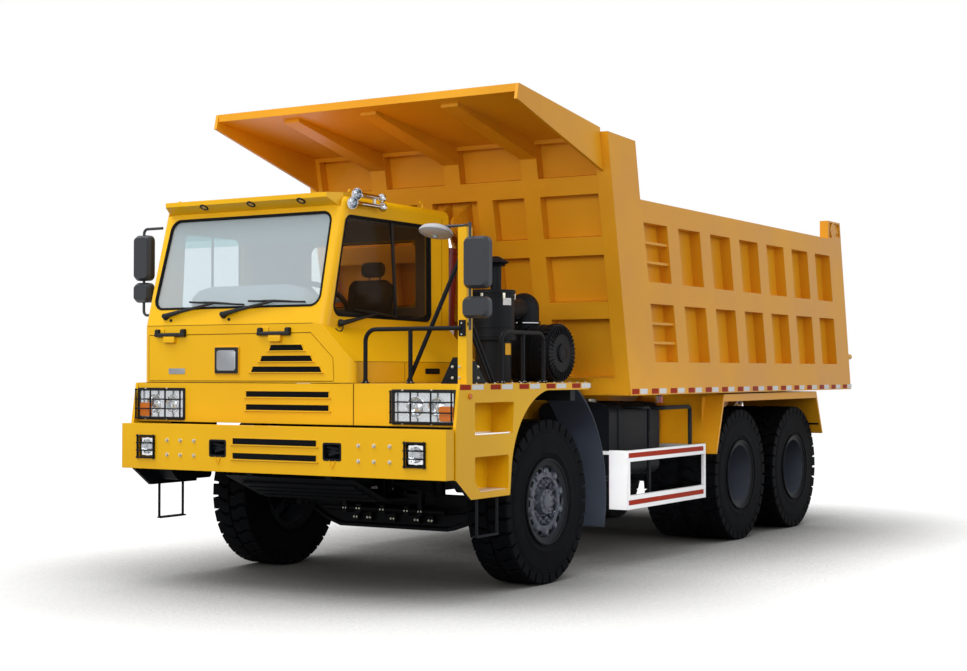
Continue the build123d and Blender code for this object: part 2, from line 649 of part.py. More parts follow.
    with BuildPart() as pane_part:
        pane(right_plane, on_side(DOOR_WINDOW), 60, 18, 26)
    save(pane_part, "door_glass")

    with BuildPart() as hatch:
        pane(facing_front(FASCIA_S), HATCH, 8, -18, 0)
        # blank badge plate and three louvres: (left, right, height)
        for left, right, z in ((-180, 161, 1932), (-271, 249, 1846), (-363, 338, 1760)):
            front_plate((FASCIA_S - 2, FASCIA_S + 20), [
                (left, z - 22), (right, z - 22), (right - 16, z + 14), (left + 16, z + 14)], Mode.SUBTRACT)
            front_plate((FASCIA_S - 14, FASCIA_S), [
                (left - 24, z - 30), (right + 24, z - 30), (right + 14, z - 22), (left - 14, z - 22)])
        block((-740, -487), (FASCIA_S - 12, FASCIA_S), (1723, 1943))
        for x in (-1220, -110):
            block((x - 60, x + 60), (FASCIA_S - 30, FASCIA_S), (2004, 2036))
            cross_rod((x - 60, x + 60), HATCH_PIN[0], HATCH_PIN[1] - 20, 13)
    save(hatch, "front_hatch")


def steering_wheel():
    """Rim, spokes and column on a plane that leans toward the driver."""
    tilt = radians(35)
    face = Plane(origin=(-150, st(800), 2330), x_dir=(1, 0, 0), z_dir=(0, sin(tilt), cos(tilt)))
    with BuildSketch(face.offset(-14)) as rim:
        RegularPolygon(250, 20)
        RegularPolygon(220, 20, mode=Mode.SUBTRACT)
    extrude(rim.sketch, amount=28)
    with BuildSketch(face.offset(-8)) as spokes:
        Rectangle(450, 40)
        with Locations((0, -112)):
            Rectangle(40, 225)
        Circle(60)
    extrude(spokes.sketch, amount=16)
    with BuildSketch(face.offset(-8)) as column:
        Circle(38)
    extrude(column.sketch, amount=-260)


def make_interior():
    with BuildPart() as dash:
        shelf_s = FASCIA_S + 190
        side_plate((CAB_X[0] + 60, CAB_X[1] - 60), [
            (shelf_s, 1800), (shelf_s, 2130), (screen_s(2131) + 62, 2130), (screen_s(2190) + 64, 2190),
            (560, 2215), (660, 2130), (640, 2010), (520, 1950), (470, 1800)])
        steering_wheel()
    save(dash, "dashboard")
    with BuildPart() as seats:
        for x in (-150, -1050):
            block((x - 170, x + 170), (1060, 1400), (CAB_FLOOR_Z, 1960))
            side_plate((x - 240, x + 240), [
                (960, 1960), (960, 2060), (1000, 2095), (1420, 2060), (1500, 2620), (1560, 2660),
                (1630, 2640), (1600, 2380), (1520, 1960)])
            side_plate((x - 130, x + 130), [
                (1520, 2660), (1530, 2830), (1600, 2850), (1640, 2830), (1625, 2645)])
    save(seats, "seats")


# ---------------------------------------------------------------- front end and platforms
LAMP_Z = (1352.0, 1600.0)
LAMPS_X = ((-1576.0, -1068.0), (1010.0, 1576.0))
FOG_X, FOG_Z = 1328.0, 1127.0
STEP_POCKETS = (                  # (station, height) outlines of the foot openings
    [(385, 1264), (945, 1264), (965, 1508), (385, 1508)],
    [(385, 916), (465, 836), (880, 836), (885, 1100), (385, 1100)])
DECK_REAR_S = 2230.0
MAST_X, MAST_S, MAST_Z = (1532.0, 1610.0), (268.0, 348.0), (DECK_Z, 2823.0)


def make_front():
    with BuildPart() as bumper:
        low, high = BUMPER_Z
        block((-BUMPER_X, BUMPER_X), (0, 110), BUMPER_Z)
        block((-BUMPER_X + 12, BUMPER_X - 12), (12, 120), (low + 12, high - 12), Mode.SUBTRACT)
        for side in (-1, 1):
            block(sorted((side * 352, side * 428)), (10, 150), (1010, 1270))
            fog_hole = sorted((side * (FOG_X - 88), side * (FOG_X + 88)))
            block(fog_hole, (-5, 20), (FOG_Z - 86, FOG_Z + 86), Mode.SUBTRACT)
            block(sorted((side * 482, side * 653)), (-5, 20), (1066, 1196), Mode.SUBTRACT)
        for z in (1186, 1070):
            block((-407, 415), (-5, 20), (z - 14, z + 14), Mode.SUBTRACT)
            block((-430, 438), (-12, 0), (z - 28, z - 18))
    save(bumper, "bumper")

    with BuildPart() as hooks:
        for side in (-1, 1):
            x = sorted((side * 484, side * 651))
            block(x, (14, 108), (1068, 1194))
            block((x[0] + 8, x[1] - 8), (4, 100), (1076, 1186), Mode.SUBTRACT)
            cross_rod((x[0] + 8, x[1] - 8), 60, 1131, 24)
    save(hooks, "tow_pins")

    with BuildPart() as fascia:
        block((-FASCIA_X + 30, 640), (FASCIA_S, FASCIA_S + 14), (1330, CAB_BASE_Z - 5))
        for z in (1561, 1456):
            block((-413, 406), (FASCIA_S - 5, FASCIA_S + 20), (z - 15, z + 15), Mode.SUBTRACT)
            block((-436, 430), (FASCIA_S - 12, FASCIA_S), (z - 30, z - 20))
        block(LAMPS_X[0], (FASCIA_S - 5, FASCIA_S + 20), LAMP_Z, Mode.SUBTRACT)
        for x in (-1000, -560, 560):
            block((x - 20, x + 20), (FASCIA_S, 290), (1530, 1610))
    save(fascia, "fascia")

    with BuildPart() as lamps:
        for x in LAMPS_X:
            block((x[0] + 2, x[1] - 2), (FASCIA_S + 4, FASCIA_S + 112), (LAMP_Z[0] + 2, LAMP_Z[1] - 2))
            middle = sum(x) / 2
            for off in (-80, 110):
                with BuildSketch(Plane(origin=(middle + off, st(FASCIA_S + 4), sum(LAMP_Z) / 2),
                                       z_dir=(0, 1, 0))) as bowl:
                    Circle(80)
                extrude(bowl.sketch, amount=60, taper=30, mode=Mode.SUBTRACT)
        for side in (-1, 1):
            rod((side * FOG_X, 14, FOG_Z), (side * FOG_X, 90, FOG_Z), 74)
            rod((side * FOG_X, 10, FOG_Z), (side * FOG_X, 40, FOG_Z), 60, Mode.SUBTRACT)
    save(lamps, "headlamps")

    with BuildPart() as guards:
        bar, reach = 5.0, 100.0
        for x in LAMPS_X:
            cage = (FASCIA_S - 46 - bar, FASCIA_S - 46 + bar)
            for number in range(4):
                z = LAMP_Z[0] + 6 + number * 78
                block((x[0] + 2, x[1] - 2), cage, (z - bar, z + bar))
                across = x[0] + 10 + number * (x[1] - x[0] - 20) / 3
                block((across - bar, across + bar), cage, (LAMP_Z[0] - 2, LAMP_Z[1] + 2))
            for across in (x[0] + 112, x[1] - 170):
                for z in (LAMP_Z[0] + 84, LAMP_Z[0] + 240):
                    block((across - 4, across + 4), (cage[1] - bar, FASCIA_S + 4), (z - 4, z + 4))
        for fog_x in (-FOG_X, FOG_X):
            for half in (-88, 88):
                block((fog_x + half - bar, fog_x + half + bar), (-20, -10), (FOG_Z - reach, FOG_Z + reach))
            for up in (-88, -30, 30, 88):
                block((fog_x - reach, fog_x + reach), (-20, -10), (FOG_Z + up - bar, FOG_Z + up + bar))
            for half in (-94, 94):
                for up in (-88, 88):
                    block((fog_x + half - 4, fog_x + half + 4), (-12, 0), (FOG_Z + up - 4, FOG_Z + up + 4))
    save(guards, "lamp_guards")

    with BuildPart() as guard:
        # skid plate under the engine, pressed with slats
        side_plate((-640, 640), [(180, 905), (200, 905), (640, 726), (980, 726), (980, 714), (636, 714)])
        for number in range(4):
            s, z = 300 + 90 * number, 856 - 36.5 * number
            side_plate((-560, 560), [(s, z - 6), (s + 40, z - 20), (s + 34, z - 40), (s - 6, z - 22)])
        for side in (-1, 1):
            for s, low in ((184, 905), (900, 726)):
                block(sorted((side * 360, side * 420)), (s, s + 20), (low - 4, 960))
    save(guard, "skid_plate")


def make_platform(side, inner_x, name):
    """Deck beside the cab, with the stepped side panel that ends at the wheel arch."""
    with BuildPart() as deck:
        panel = sorted((side * (FASCIA_X - 28), side * FASCIA_X))
        with BuildSketch(Plane.YZ.offset(panel[0])) as face:
            with BuildLine():
                Line((st(FASCIA_S), DECK_Z), (st(120), 1330))
                Line((st(120), 1330), (st(120), 940))
                Line((st(120), 940), (st(330), 786))
                Line((st(330), 786), (st(905), 786))
                Line((st(905), 786), (st(930), 1010))
                RadiusArc((st(930), 1010), (st(1500), 1592), 690)
                Line((st(1500), 1592), (st(DECK_REAR_S), 1592))
                Line((st(DECK_REAR_S), 1592), (st(DECK_REAR_S), DECK_Z))
                Line((st(DECK_REAR_S), DECK_Z), (st(FASCIA_S), DECK_Z))
            make_face()
        extrude(face.sketch, amount=28)
        floor = sorted((side * inner_x, side * FASCIA_X))
        block(floor, (FASCIA_S + 16, DECK_REAR_S), (DECK_Z - 24, DECK_Z))
        for outline in STEP_POCKETS:
            liner = Plane.YZ.offset(min(side * 1400, side * (FASCIA_X - 28)))
            pane(liner, on_side(outline), 24, 0, FASCIA_X - 28 - 1400, grow=12)
            cut = sorted((side * 1412, side * (FASCIA_X + 5)))
            pane(Plane.YZ.offset(cut[0]), on_side(outline), 12, 0, cut[1] - cut[0], mode=Mode.SUBTRACT)
        if side > 0:
            block((inner_x, FASCIA_X), (FASCIA_S, FASCIA_S + 14), (1330, DECK_Z))
            block(LAMPS_X[1], (FASCIA_S - 5, FASCIA_S + 20), LAMP_Z, Mode.SUBTRACT)
            block(MAST_X, MAST_S, MAST_Z)
            block((inner_x, inner_x + 14), (380, 1950), (1560, DECK_Z))
    save(deck, name)


def make_trim():
    with BuildPart() as rails:
        tube = 17.0
        bent_tube([(692, 262, DECK_Z), (692, 262, 2068), (1570, 262, 2068)], tube, 95)
        block((1546, 1602), (256, 268), (2008, 2128))
        rod((1110, 262, DECK_Z), (1110, 262, 2068), tube)
        bent_tube([(1572, 834, DECK_Z), (1572, 834, 2052), (1572, 1500, 2052), (1572, 1500, DECK_Z)], tube, 80)
        rod((1572, 1170, DECK_Z), (1572, 1170, 2052), tube)
        rod((1530, 300, 2592), (1060, 300, DECK_Z), tube)
        for step in (0, 52):
            rod((1560, 349, 2200 - 1.4 * step), (1560, 742 - step, DECK_Z), tube - 3)
        # gussets at the mast's foot
        front_plate((300, 314), [(1360, DECK_Z), (1532, DECK_Z), (1532, 1850), (1466, 1850)])
        side_plate((1564, 1578), [(348, DECK_Z), (610, DECK_Z), (446, 1822), (348, 1822)])
        # ladders that hang under the step panels
        for side in (-1, 1):
            bent_tube([(side * 1590, 440, 786), (side * 1590, 440, 500), (side * 1590, 735, 500),
                       (side * 1590, 735, 786)], 11, 14)
            block(sorted((side * 1560, side * 1602)), (428, 747), (494, 506))
        block(MAST_X, MAST_S, MAST_Z, Mode.SUBTRACT)
        block((600, FASCIA_X), (FASCIA_S, DECK_REAR_S), (DECK_Z - 40, DECK_Z), Mode.SUBTRACT)
    save(rails, "handrails")

    with BuildPart() as mirrors:
        # shells of the square heads: (left, right, lower height, upper height, front station)
        for x_in, x_out, low, high, front in ((1615, 1835, 2358, 2744, 180), (1605, 1835, 2137, 2298, 180),
                                              (-1835, -1645, 2521, 2912, 350), (-1835, -1645, 2334, 2505, 350)):
            middle = Location(((x_in + x_out) / 2, (low + high) / 2))
            with BuildSketch(facing_front(front)) as face:
                with Locations(middle):
                    RectangleRounded(x_out - x_in - 44, high - low - 44, 30)
            with BuildSketch(facing_front(front + 34)) as rim:
                with Locations(middle):
                    RectangleRounded(x_out - x_in, high - low, 52)
            loft([face.sketch.face(), rim.sketch.face()])
            extrude(rim.sketch, amount=-48)
        rod((1665, 225, 2050), (1665, 225, 2850), 11)
        rod((1572, 308, 2823), (1572, 308, 2842), 16)
        bent_tube([(1340, 300, 2836), (1572, 300, 2836), (1665, 225, 2836)], 11, 12)
        rod((1612, 300, 2100), (1665, 225, 2100), 11)
        # round wide-angle mirror: a shallow dome that looks down past the bumper
        tilt = radians(16)
        dome = Plane(origin=(1331, st(280), 2806), x_dir=(1, 0, 0), z_dir=(0, sin(tilt), cos(tilt)))
        with BuildSketch(Plane(origin=dome.origin, x_dir=dome.x_dir, z_dir=-dome.y_dir)) as section:
            with BuildLine():
                Polyline((0, 44), (60, 36), (112, 14), (130, -8), (130, -22), (0, -22), close=True)
            make_face()
        revolve(section.sketch, axis=Axis(dome.origin, dome.z_dir))
        block(MAST_X, MAST_S, MAST_Z, Mode.SUBTRACT)
        bent_tube([(CAB_X[0], 400, 2965), (-1740, 400, 2965), (-1740, 400, 2225), (CAB_X[0], 400, 2225)], 12, 40)
    save(mirrors, "mirrors")

    with BuildPart() as horns:
        # two trumpets on a bracket outside the roof's left edge: (across, throat, height, tail)
        for x, s, z, tail in ((420, 631, 3156, 250), (430, 560, 3082, 320)):
            rod((x, s, z), (x, s + tail, z), 16)
            with BuildSketch(Plane(origin=(x, st(s), z), z_dir=(0, -1, 0))) as bell:
                Circle(16)
            extrude(bell.sketch, amount=110, taper=-13)
        block((CAB_X[1], 430), (740, 780), (3076, 3088))
        block((412, 428), (740, 780), (3082, 3156))
    save(horns, "air_horns")

    with BuildPart() as cleaner:
        # canister: (lower height, upper height, radius) of the foot, band, barrel and lid
        for low, high, radius in ((DECK_Z, 2000, 150), (2000, 2040, 188), (2040, 2385, 175), (2385, 2414, 185)):
            rod((1100, 1500, low), (1100, 1500, high), radius)
        # stem and rain cap
        rod((1090, 1560, 2414), (1090, 1560, 2640), 46)
        with BuildSketch(Plane(origin=(1090, st(1560), 0), x_dir=(1, 0, 0), z_dir=(0, -1, 0))) as cap:
            with BuildLine():
                Polyline((0, 2700), (30, 2697), (107, 2652), (107, 2646), (60, 2622), (0, 2622), close=True)
            make_face()
        revolve(cap.sketch, axis=Axis((1090, st(1560), 0), (0, 0, 1)))
        # elbow from the canister down into the drum, with its clamp
        with Locations((1024, st(2140), 2288)):
            Sphere(132)
        rod((1024, 2140, 2100), (1024, 2140, 2288), 132)
        rod((1024, 2140, 2146), (1024, 2140, 2174), 140)
        rod((1080, 1600, 2240), (1024, 2140, 2288), 92)
        # drum on its side, with a vaned end: (inner end, outer end, radius)
        for inner, outer, radius in ((950, 1306, 240), (1306, 1376, 250), (1376, 1398, 228), (1398, 1416, 48)):
            cross_rod((inner, outer), 2140, 1900, radius)
        with BuildSketch(Plane.YZ.offset(1312)) as slots:
            with Locations((st(2140), 1900)):
                with PolarLocations(246, 28):
                    Rectangle(30, 18)
        extrude(slots.sketch, amount=58, mode=Mode.SUBTRACT)
        for x in (1010, 1240):
            block((x - 30, x + 30), (2020, 2226), (DECK_Z, 1720))
    save(cleaner, "air_cleaner")


def make_side_gear():
    # tanks: (name, span across, front, rear, heights, corner radius, straps, brackets)
    for name, x, front, rear, z, corner, straps, brackets in (
            ("fuel_tank", (560, 1290), 3230, 4300, (770, 1450), 90, (3440, 4070), (3480, 4050)),
            ("oil_tank", (-1250, -560), 3230, 4000, (800, 1440), 70, (3380, 3850), (3380, 3850))):
        with BuildPart() as tank:
            middle = Location((sum(x) / 2, sum(z) / 2))
            spans = [(front, rear, 0)] + [(s - 32, s + 32, 8) for s in straps]
            for start, end, proud in spans:
                with BuildSketch(facing_front(end)) as section:
                    with Locations(middle):
                        RectangleRounded(x[1] - x[0] + 2 * proud, z[1] - z[0] + 2 * proud, corner)
                extrude(section.sketch, amount=end - start)
            for station in brackets:
                ends = (430, 562) if x[0] > 0 else (-562, -430)
                block(ends, (station - 40, station + 40), (1000, 1100))
            if name == "fuel_tank":
                # filler and breather pipes that come down outside the tank to the side guard
                bent_tube([(1280, 3560, 1410), (1450, 3560, 1410), (1450, 3738, 1410), (1450, 3738, 590),
                           (1570, 3738, 590)], 17, 40)
                bent_tube([(1280, 4023, 1400), (1450, 4023, 1400), (1450, 4664, 1400),
                           (1450, 4664, 1030)], 20, 45)
        save(tank, name)

    with BuildPart() as guards:
        for side in (-1, 1):
            x = sorted((side * 1570, side * 1605))
            with BuildSketch(Plane.YZ.offset(x[0])) as face:
                with Locations((st(3830), 778)):
                    Rectangle(1720, 524)
                with Locations((st(3845), 790)):
                    Rectangle(1640, 300, mode=Mode.SUBTRACT)
            extrude(face.sketch, amount=35)
            block(sorted((side * 1422, side * 1605)), (2970, 3000), (516, 1040))
            for station in (3010, 4660):
                block(sorted((side * 430, side * 1572)), (station - 30, station + 30), (1000, 1030))
    save(guards, "side_guards")

    with BuildPart() as guards:
        for side in (-1, 1):
            plane = Plane.YZ.offset(min(side * 1135, side * 1500))
            with BuildSketch(plane) as face:
                with BuildLine():
                    hub = (st(AXLE_1), HUB_Z)
                    outer, inner = 1060, 1050
                    low, high = -16, 60
                    CenterArc(hub, outer, low, high - low)
                    CenterArc(hub, inner, low, high - low)
                    for angle in (low, high):
                        a = radians(angle)
                        Line((hub[0] + inner * cos(a), hub[1] + inner * sin(a)),
                             (hub[0] + outer * cos(a), hub[1] + outer * sin(a)))
                make_face()
            extrude(face.sketch, amount=365)
            block(sorted((side * 430, side * 1136)), (2640, 2680), (1040, 1080))
    save(guards, "front_mudguards")

    with BuildPart() as fenders:
        for side in (-1, 1):
            x = sorted((side * 690, side * 1600))
            top = 1515
            side_plate(x, [(5164, top), (7860, top), (8070, 1036), (8045, 1030), (7835, top - 22),
                           (5190, top - 22), (4985, 926), (4957, 926)])
            skirt = sorted((side * 1582, side * 1600))
            side_plate(skirt, [(5164, top), (7860, top), (7890, 1441), (5140, 1441)])
            side_plate(sorted((side * 1394, side * 1406)), [(5156, top - 22), (5072, top - 22), (5062, 1230)])
            for station in (5230, 7850):
                front_plate((station - 30, station + 30), [
                    (side * 430, 1170), (side * 430, 1240), (side * 640, 1493), (side * 760, 1493),
                    (side * 760, 1460), (side * 690, 1450), (side * 470, 1170)])
    save(fenders, "rear_fenders")


make_frame()
make_engine()
make_axles()
make_knuckle(1, "knuckle_left")
make_knuckle(-1, "knuckle_right")
make_wheels()
make_body()
make_hoist()
make_cab()
make_interior()
make_front()
make_platform(1, 650, "platform_left")
make_platform(-1, 1540, "platform_right")
make_trim()
make_side_gear()
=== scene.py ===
"""Dresses the mining dump truck: paints, rubber, glass, tyre tread, bolts, seals, lamps and trim.

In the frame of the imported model: +X is the truck's left, +Y its rear, Z = 0 the ground. A station is a
distance behind the bumper's front face. Lights and camera are in metres, the truck's pieces in millimetres.
"""
from itertools import product
from math import atan2, cos, degrees, pi, radians, sin, tan

import bmesh
import bpy
from mathutils import Matrix, Vector


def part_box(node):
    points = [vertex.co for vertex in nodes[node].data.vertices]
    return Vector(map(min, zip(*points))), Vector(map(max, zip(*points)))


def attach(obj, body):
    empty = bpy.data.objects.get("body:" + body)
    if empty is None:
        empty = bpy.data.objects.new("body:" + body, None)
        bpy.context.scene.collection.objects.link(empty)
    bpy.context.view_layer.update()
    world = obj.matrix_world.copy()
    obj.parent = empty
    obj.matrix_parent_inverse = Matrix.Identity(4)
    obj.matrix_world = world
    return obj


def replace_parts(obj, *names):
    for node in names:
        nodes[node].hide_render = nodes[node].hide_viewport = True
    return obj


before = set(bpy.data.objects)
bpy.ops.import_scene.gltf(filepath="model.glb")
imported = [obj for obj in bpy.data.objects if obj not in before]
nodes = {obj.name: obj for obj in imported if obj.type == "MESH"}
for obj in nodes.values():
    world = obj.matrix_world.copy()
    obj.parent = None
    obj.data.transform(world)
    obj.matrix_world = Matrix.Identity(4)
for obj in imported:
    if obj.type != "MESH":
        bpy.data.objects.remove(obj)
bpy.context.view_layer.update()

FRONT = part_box("frame_rails")[0].y - 0.150
MM = 0.001


# ---------------- camera and light
EYE = Vector((7.938, FRONT - 9.892, 1.746))
YAW, PITCH, FOCAL = radians(31.32), radians(1.27), 59.94
# (name, place, aim, size, watts, beam in degrees); the last one is gridded and reaches past the front wheel
LIGHTS = (("sky_panel", (-4.0, -7.0, 13.0), (0.0, 0.0, 1.5), (11.0, 9.0), 1300.0, 180.0),
          ("front_panel", (2.2, -16.0, 6.0), (0.0, -3.0, 1.8), (9.0, 5.0), 670.0, 180.0),
          ("side_panel", (13.0, -1.0, 5.0), (0.0, 0.0, 1.6), (9.0, 4.0), 320.0, 180.0),
          ("guard_lamp", (6.0, -10.4, 1.1), (1.66, -1.6, 0.82), (0.7, 0.7), 4.4, 13.0))


def linked(name, data):
    """A new object of the scene that holds the data."""
    made = bpy.data.objects.new(name, data)
    bpy.context.scene.collection.objects.link(made)
    return made


def make_camera_and_lights():
    data = bpy.data.cameras.new("camera")
    data.sensor_width, data.lens, data.clip_end = 36.0, FOCAL, 200.0
    camera = linked("camera", data)
    camera.location, camera.rotation_euler = EYE, (pi / 2 + PITCH, 0.0, YAW)
    bpy.context.scene.camera = camera
    for name, home, aim, size, watts, beam in LIGHTS:
        data = bpy.data.lights.new(name, "AREA")
        data.shape, data.size, data.size_y = "RECTANGLE", *size
        data.energy, data.spread = watts, radians(beam)
        lamp = linked(name, data)
        lamp.location = home
        lamp.rotation_euler = (Vector(aim) - Vector(home)).to_track_quat("-Z", "Y").to_euler()


# ---------------- materials
def linear(code):
    """sRGB hex to the linear colour that shaders take."""
    parts = [int(code[i:i + 2], 16) / 255 for i in (1, 3, 5)]
    return [c / 12.92 if c <= 0.04045 else ((c + 0.055) / 1.055) ** 2.4 for c in parts] + [1.0]


def add(tree, kind, inputs=None, **settings):
    """Adds a node; inputs are values, or sockets of other nodes to link from."""
    node = tree.nodes.new(kind)
    for key, value in settings.items():
        setattr(node, key, value)
    for key, value in (inputs or {}).items():
        if isinstance(value, bpy.types.NodeSocket):
            tree.links.new(value, node.inputs[key])
        else:
            node.inputs[key].default_value = value
    return node


def surface(draw):
    """Makes a maker of named materials from a function that draws a shader."""
    def make(name, *values, **named):
        material = bpy.data.materials.new(name)
        material.use_nodes = True
        tree = material.node_tree
        tree.nodes.clear()
        add(tree, "ShaderNodeOutputMaterial", {0: draw(tree, *values, **named)})
        return material
    return make


def position(tree):
    return add(tree, "ShaderNodeTexCoord").outputs["Object"]


def noise(tree, size_mm, detail=3.0, rough=0.5):
    """Noise in object space whose features are about size_mm across."""
    inputs = {"Vector": position(tree), "Scale": 1000.0 / size_mm, "Detail": detail, "Roughness": rough}
    return add(tree, "ShaderNodeTexNoise", inputs).outputs["Fac"]


def blend_colours(tree, factor, low, high):
    """Mixes two hex colours by a socket."""
    mix = add(tree, "ShaderNodeMix", {"Factor": factor}, data_type="RGBA")
    mix.inputs[6].default_value, mix.inputs[7].default_value = linear(low), linear(high)
    return mix.outputs[2]


def stretch(tree, value, low, high, to_low=0.0, to_high=1.0):
    """Maps a socket's range to another one."""
    inputs = {"Value": value, "From Min": low, "From Max": high, "To Min": to_low, "To Max": to_high}
    return add(tree, "ShaderNodeMapRange", inputs).outputs[0]


def relief(tree, height, depth_mm, strength, base=None):
    """The normal of a surface with a fine relief."""
    inputs = {"Height": height, "Distance": depth_mm * MM, "Strength": strength}
    return add(tree, "ShaderNodeBump", inputs | ({"Normal": base} if base else {})).outputs[0]


def maths(tree, operation, first, second):
    return add(tree, "ShaderNodeMath", {0: first, 1: second}, operation=operation).outputs[0]


def principled(tree, inputs):
    return add(tree, "ShaderNodeBsdfPrincipled", inputs).outputs[0]


def plain(tree, kind, colour, strength=None):
    """A one-colour shader."""
    inputs = {"Color": linear(colour)} | ({} if strength is None else {"Strength": strength})
    return add(tree, kind, inputs).outputs[0]


def mixed(tree, share, low, high):
    return add(tree, "ShaderNodeMixShader", {0: share, 1: low, 2: high}).outputs[0]


@surface
def enamel(tree, colour, shade, rough, grain_mm, depth_mm, edge_mm=5.0, coat=0.1, gloss=0.3):
    """Sprayed enamel: even colour, faint orange peel, and softly rounded edges."""
    drift = noise(tree, 900.0, 4.0)
    soft = add(tree, "ShaderNodeBevel", {"Radius": edge_mm * MM}, samples=3).outputs[0]
    return principled(tree, {
        "Base Color": blend_colours(tree, stretch(tree, drift, 0.35, 0.7), shade, colour),
        "Roughness": stretch(tree, drift, 0.3, 0.7, rough - 0.05, rough + 0.06),
        "Coat Weight": coat, "Coat Roughness": 0.12, "Specular IOR Level": gloss,
        "Normal": relief(tree, noise(tree, grain_mm, 2.0), depth_mm, 0.5, soft)})


@surface
def rubber(tree, colour, dust, rough):
    """Moulded rubber: matt, with a faint grey bloom and a fine pitted skin."""
    bloom = stretch(tree, noise(tree, 160.0, 5.0, 0.6), 0.45, 0.75)
    return principled(tree, {
        "Base Color": blend_colours(tree, bloom, colour, dust), "Roughness": rough,
        "Specular IOR Level": 0.06, "Normal": relief(tree, noise(tree, 7.0), 0.6, 0.6)})


@surface
def moulded_plastic(tree, colour, rough, grain_mm=2.5):
    """Injection-moulded plastic with a spark-eroded grain."""
    return principled(tree, {
        "Base Color": linear(colour), "Roughness": rough, "Specular IOR Level": 0.25,
        "Normal": relief(tree, noise(tree, grain_mm, 2.0), 0.25, 0.5)})


@surface
def metal(tree, colour, rough, scratch_mm=30.0):
    """Bare or plated metal, with roughness that wanders."""
    wander = stretch(tree, noise(tree, scratch_mm, 4.0), 0.3, 0.7, max(rough - 0.05, 0.02), rough + 0.08)
    return principled(tree, {"Base Color": linear(colour), "Metallic": 1.0, "Roughness": wander})


@surface
def sheet_glass(tree, tint, veil, share):
    """Flat glazing: a tint, a mirror-like skin, and a veil in the base colour, a painted reflection of the
    sky and surroundings that a big pane shows.
    """
    shine = principled(tree, {"Base Color": linear(veil), "Roughness": 0.04, "IOR": 1.5})
    slant = add(tree, "ShaderNodeLayerWeight", {"Blend": 0.5}).outputs["Facing"]
    return mixed(tree, stretch(tree, slant, 0.5, 1.0, share, 0.8),
                 plain(tree, "ShaderNodeBsdfTransparent", tint), shine)


@surface
def lamp_lens(tree, colour, flutes_mm, opaque):
    """Pressed lamp lens, glossy and fluted."""
    flutes = add(tree, "ShaderNodeTexWave", {"Vector": position(tree), "Scale": 160.0 / flutes_mm},
                 bands_direction="X").outputs["Fac"]
    shine = principled(tree, {"Base Color": linear(colour), "Roughness": 0.06, "IOR": 1.49,
                              "Normal": relief(tree, flutes, 2.0, 0.7)})
    return mixed(tree, opaque, plain(tree, "ShaderNodeBsdfTransparent", colour), shine)


def seen_rays(tree):
    """1 for rays that bring a surface to the eye, straight, off gloss or through glass."""
    path = add(tree, "ShaderNodeLightPath").outputs
    direct = maths(tree, "MAXIMUM", path["Is Camera Ray"], path["Is Glossy Ray"])
    return maths(tree, "MAXIMUM", direct, path["Is Transmission Ray"])


@surface
def studio_floor(tree, reach):
    """Pale matt floor that reads white, with a painted shadow where its glow fades by ambient occlusion near
    the truck; it throws little light back up.
    """
    nearby = add(tree, "ShaderNodeAmbientOcclusion", {"Distance": reach}, samples=8).outputs["AO"]
    # painted shadow: the white glow dims where the truck is near
    glow = plain(tree, "ShaderNodeEmission", "#FFFFFF", maths(tree, "POWER", nearby, 3.0))
    lit = plain(tree, "ShaderNodeBsdfDiffuse", "#605F5D")
    shown = add(tree, "ShaderNodeAddShader", {0: lit, 1: glow}).outputs[0]
    return mixed(tree, seen_rays(tree), plain(tree, "ShaderNodeBsdfDiffuse", "#7C7C7C"), shown)


def make_floor(half=60.0):
    mesh = bpy.data.meshes.new("floor")
    corners = [(x, y, 0) for x, y in ((-half, -half), (half, -half), (half, half), (-half, half))]
    mesh.from_pydata(corners, [], [(0, 1, 2, 3)])
    mesh.materials.append(studio_floor("studio_floor", 2.6))
    linked("floor", mesh)


def make_world():
    """White to the camera, to gloss and through glass; a plain soft level as light."""
    world = bpy.data.worlds.new("studio")
    bpy.context.scene.world = world
    world.use_nodes = True
    tree = world.node_tree
    tree.nodes.clear()
    fill, white = (plain(tree, "ShaderNodeBackground", "#FFFFFF", level) for level in (0.64, 1.0))
    add(tree, "ShaderNodeOutputWorld", {0: mixed(tree, seen_rays(tree), fill, white)})


YELLOW = enamel("yellow_machine_enamel", "#EBB40C", "#E4AB0A", 0.36, 14.0, 0.35, coat=0.04, gloss=0.22)
BODY_YELLOW = enamel("body_enamel", "#E8A41B", "#DD9816", 0.42, 18.0, 0.6, coat=0.06, gloss=0.25)
BLACK = enamel("black_chassis_enamel", "#0F1115", "#14161A", 0.5, 16.0, 0.5, coat=0.0, gloss=0.1)
# the wheels' own blue-black, lightened as painted light where the discs catch the light
RIM_BLUE_BLACK_WITH_PAINTED_LIGHT = enamel("blue_black_wheel_enamel_with_painted_light", "#4A505B", "#40454F", 0.42, 12.0, 0.4, 3.0, 0.0, 0.35)
SLATE = enamel("slate_mudguard_enamel", "#363C47", "#2F343E", 0.5, 12.0, 0.5, coat=0.0, gloss=0.2)
WHITE = enamel("white_guard_enamel", "#F3F4F6", "#ECEDEF", 0.35, 14.0, 0.3)
RED = enamel("red_hoist_enamel", "#7E1518", "#6C1013", 0.38, 14.0, 0.3)
MIRROR_CAP = enamel("grey_mirror_cap", "#B4B7BC", "#A9ACB1", 0.35, 14.0, 0.2)
CHEQUER = enamel("anti_slip_deck_enamel", "#D99A1C", "#CF911A", 0.6, 9.0, 2.2)
TAPE_RED = enamel("red_reflecting_tape", "#9E2A10", "#92250D", 0.5, 4.0, 0.1, coat=0.0, gloss=0.08)
TAPE_WHITE = enamel("white_reflecting_tape", "#DCDDDD", "#D2D3D4", 0.4, 4.0, 0.1, coat=0.0)
TYRE = rubber("tyre_rubber", "#07080B", "#0E1013", 0.76)
SEAL = rubber("glazing_rubber", "#121315", "#1A1B1D", 0.6)
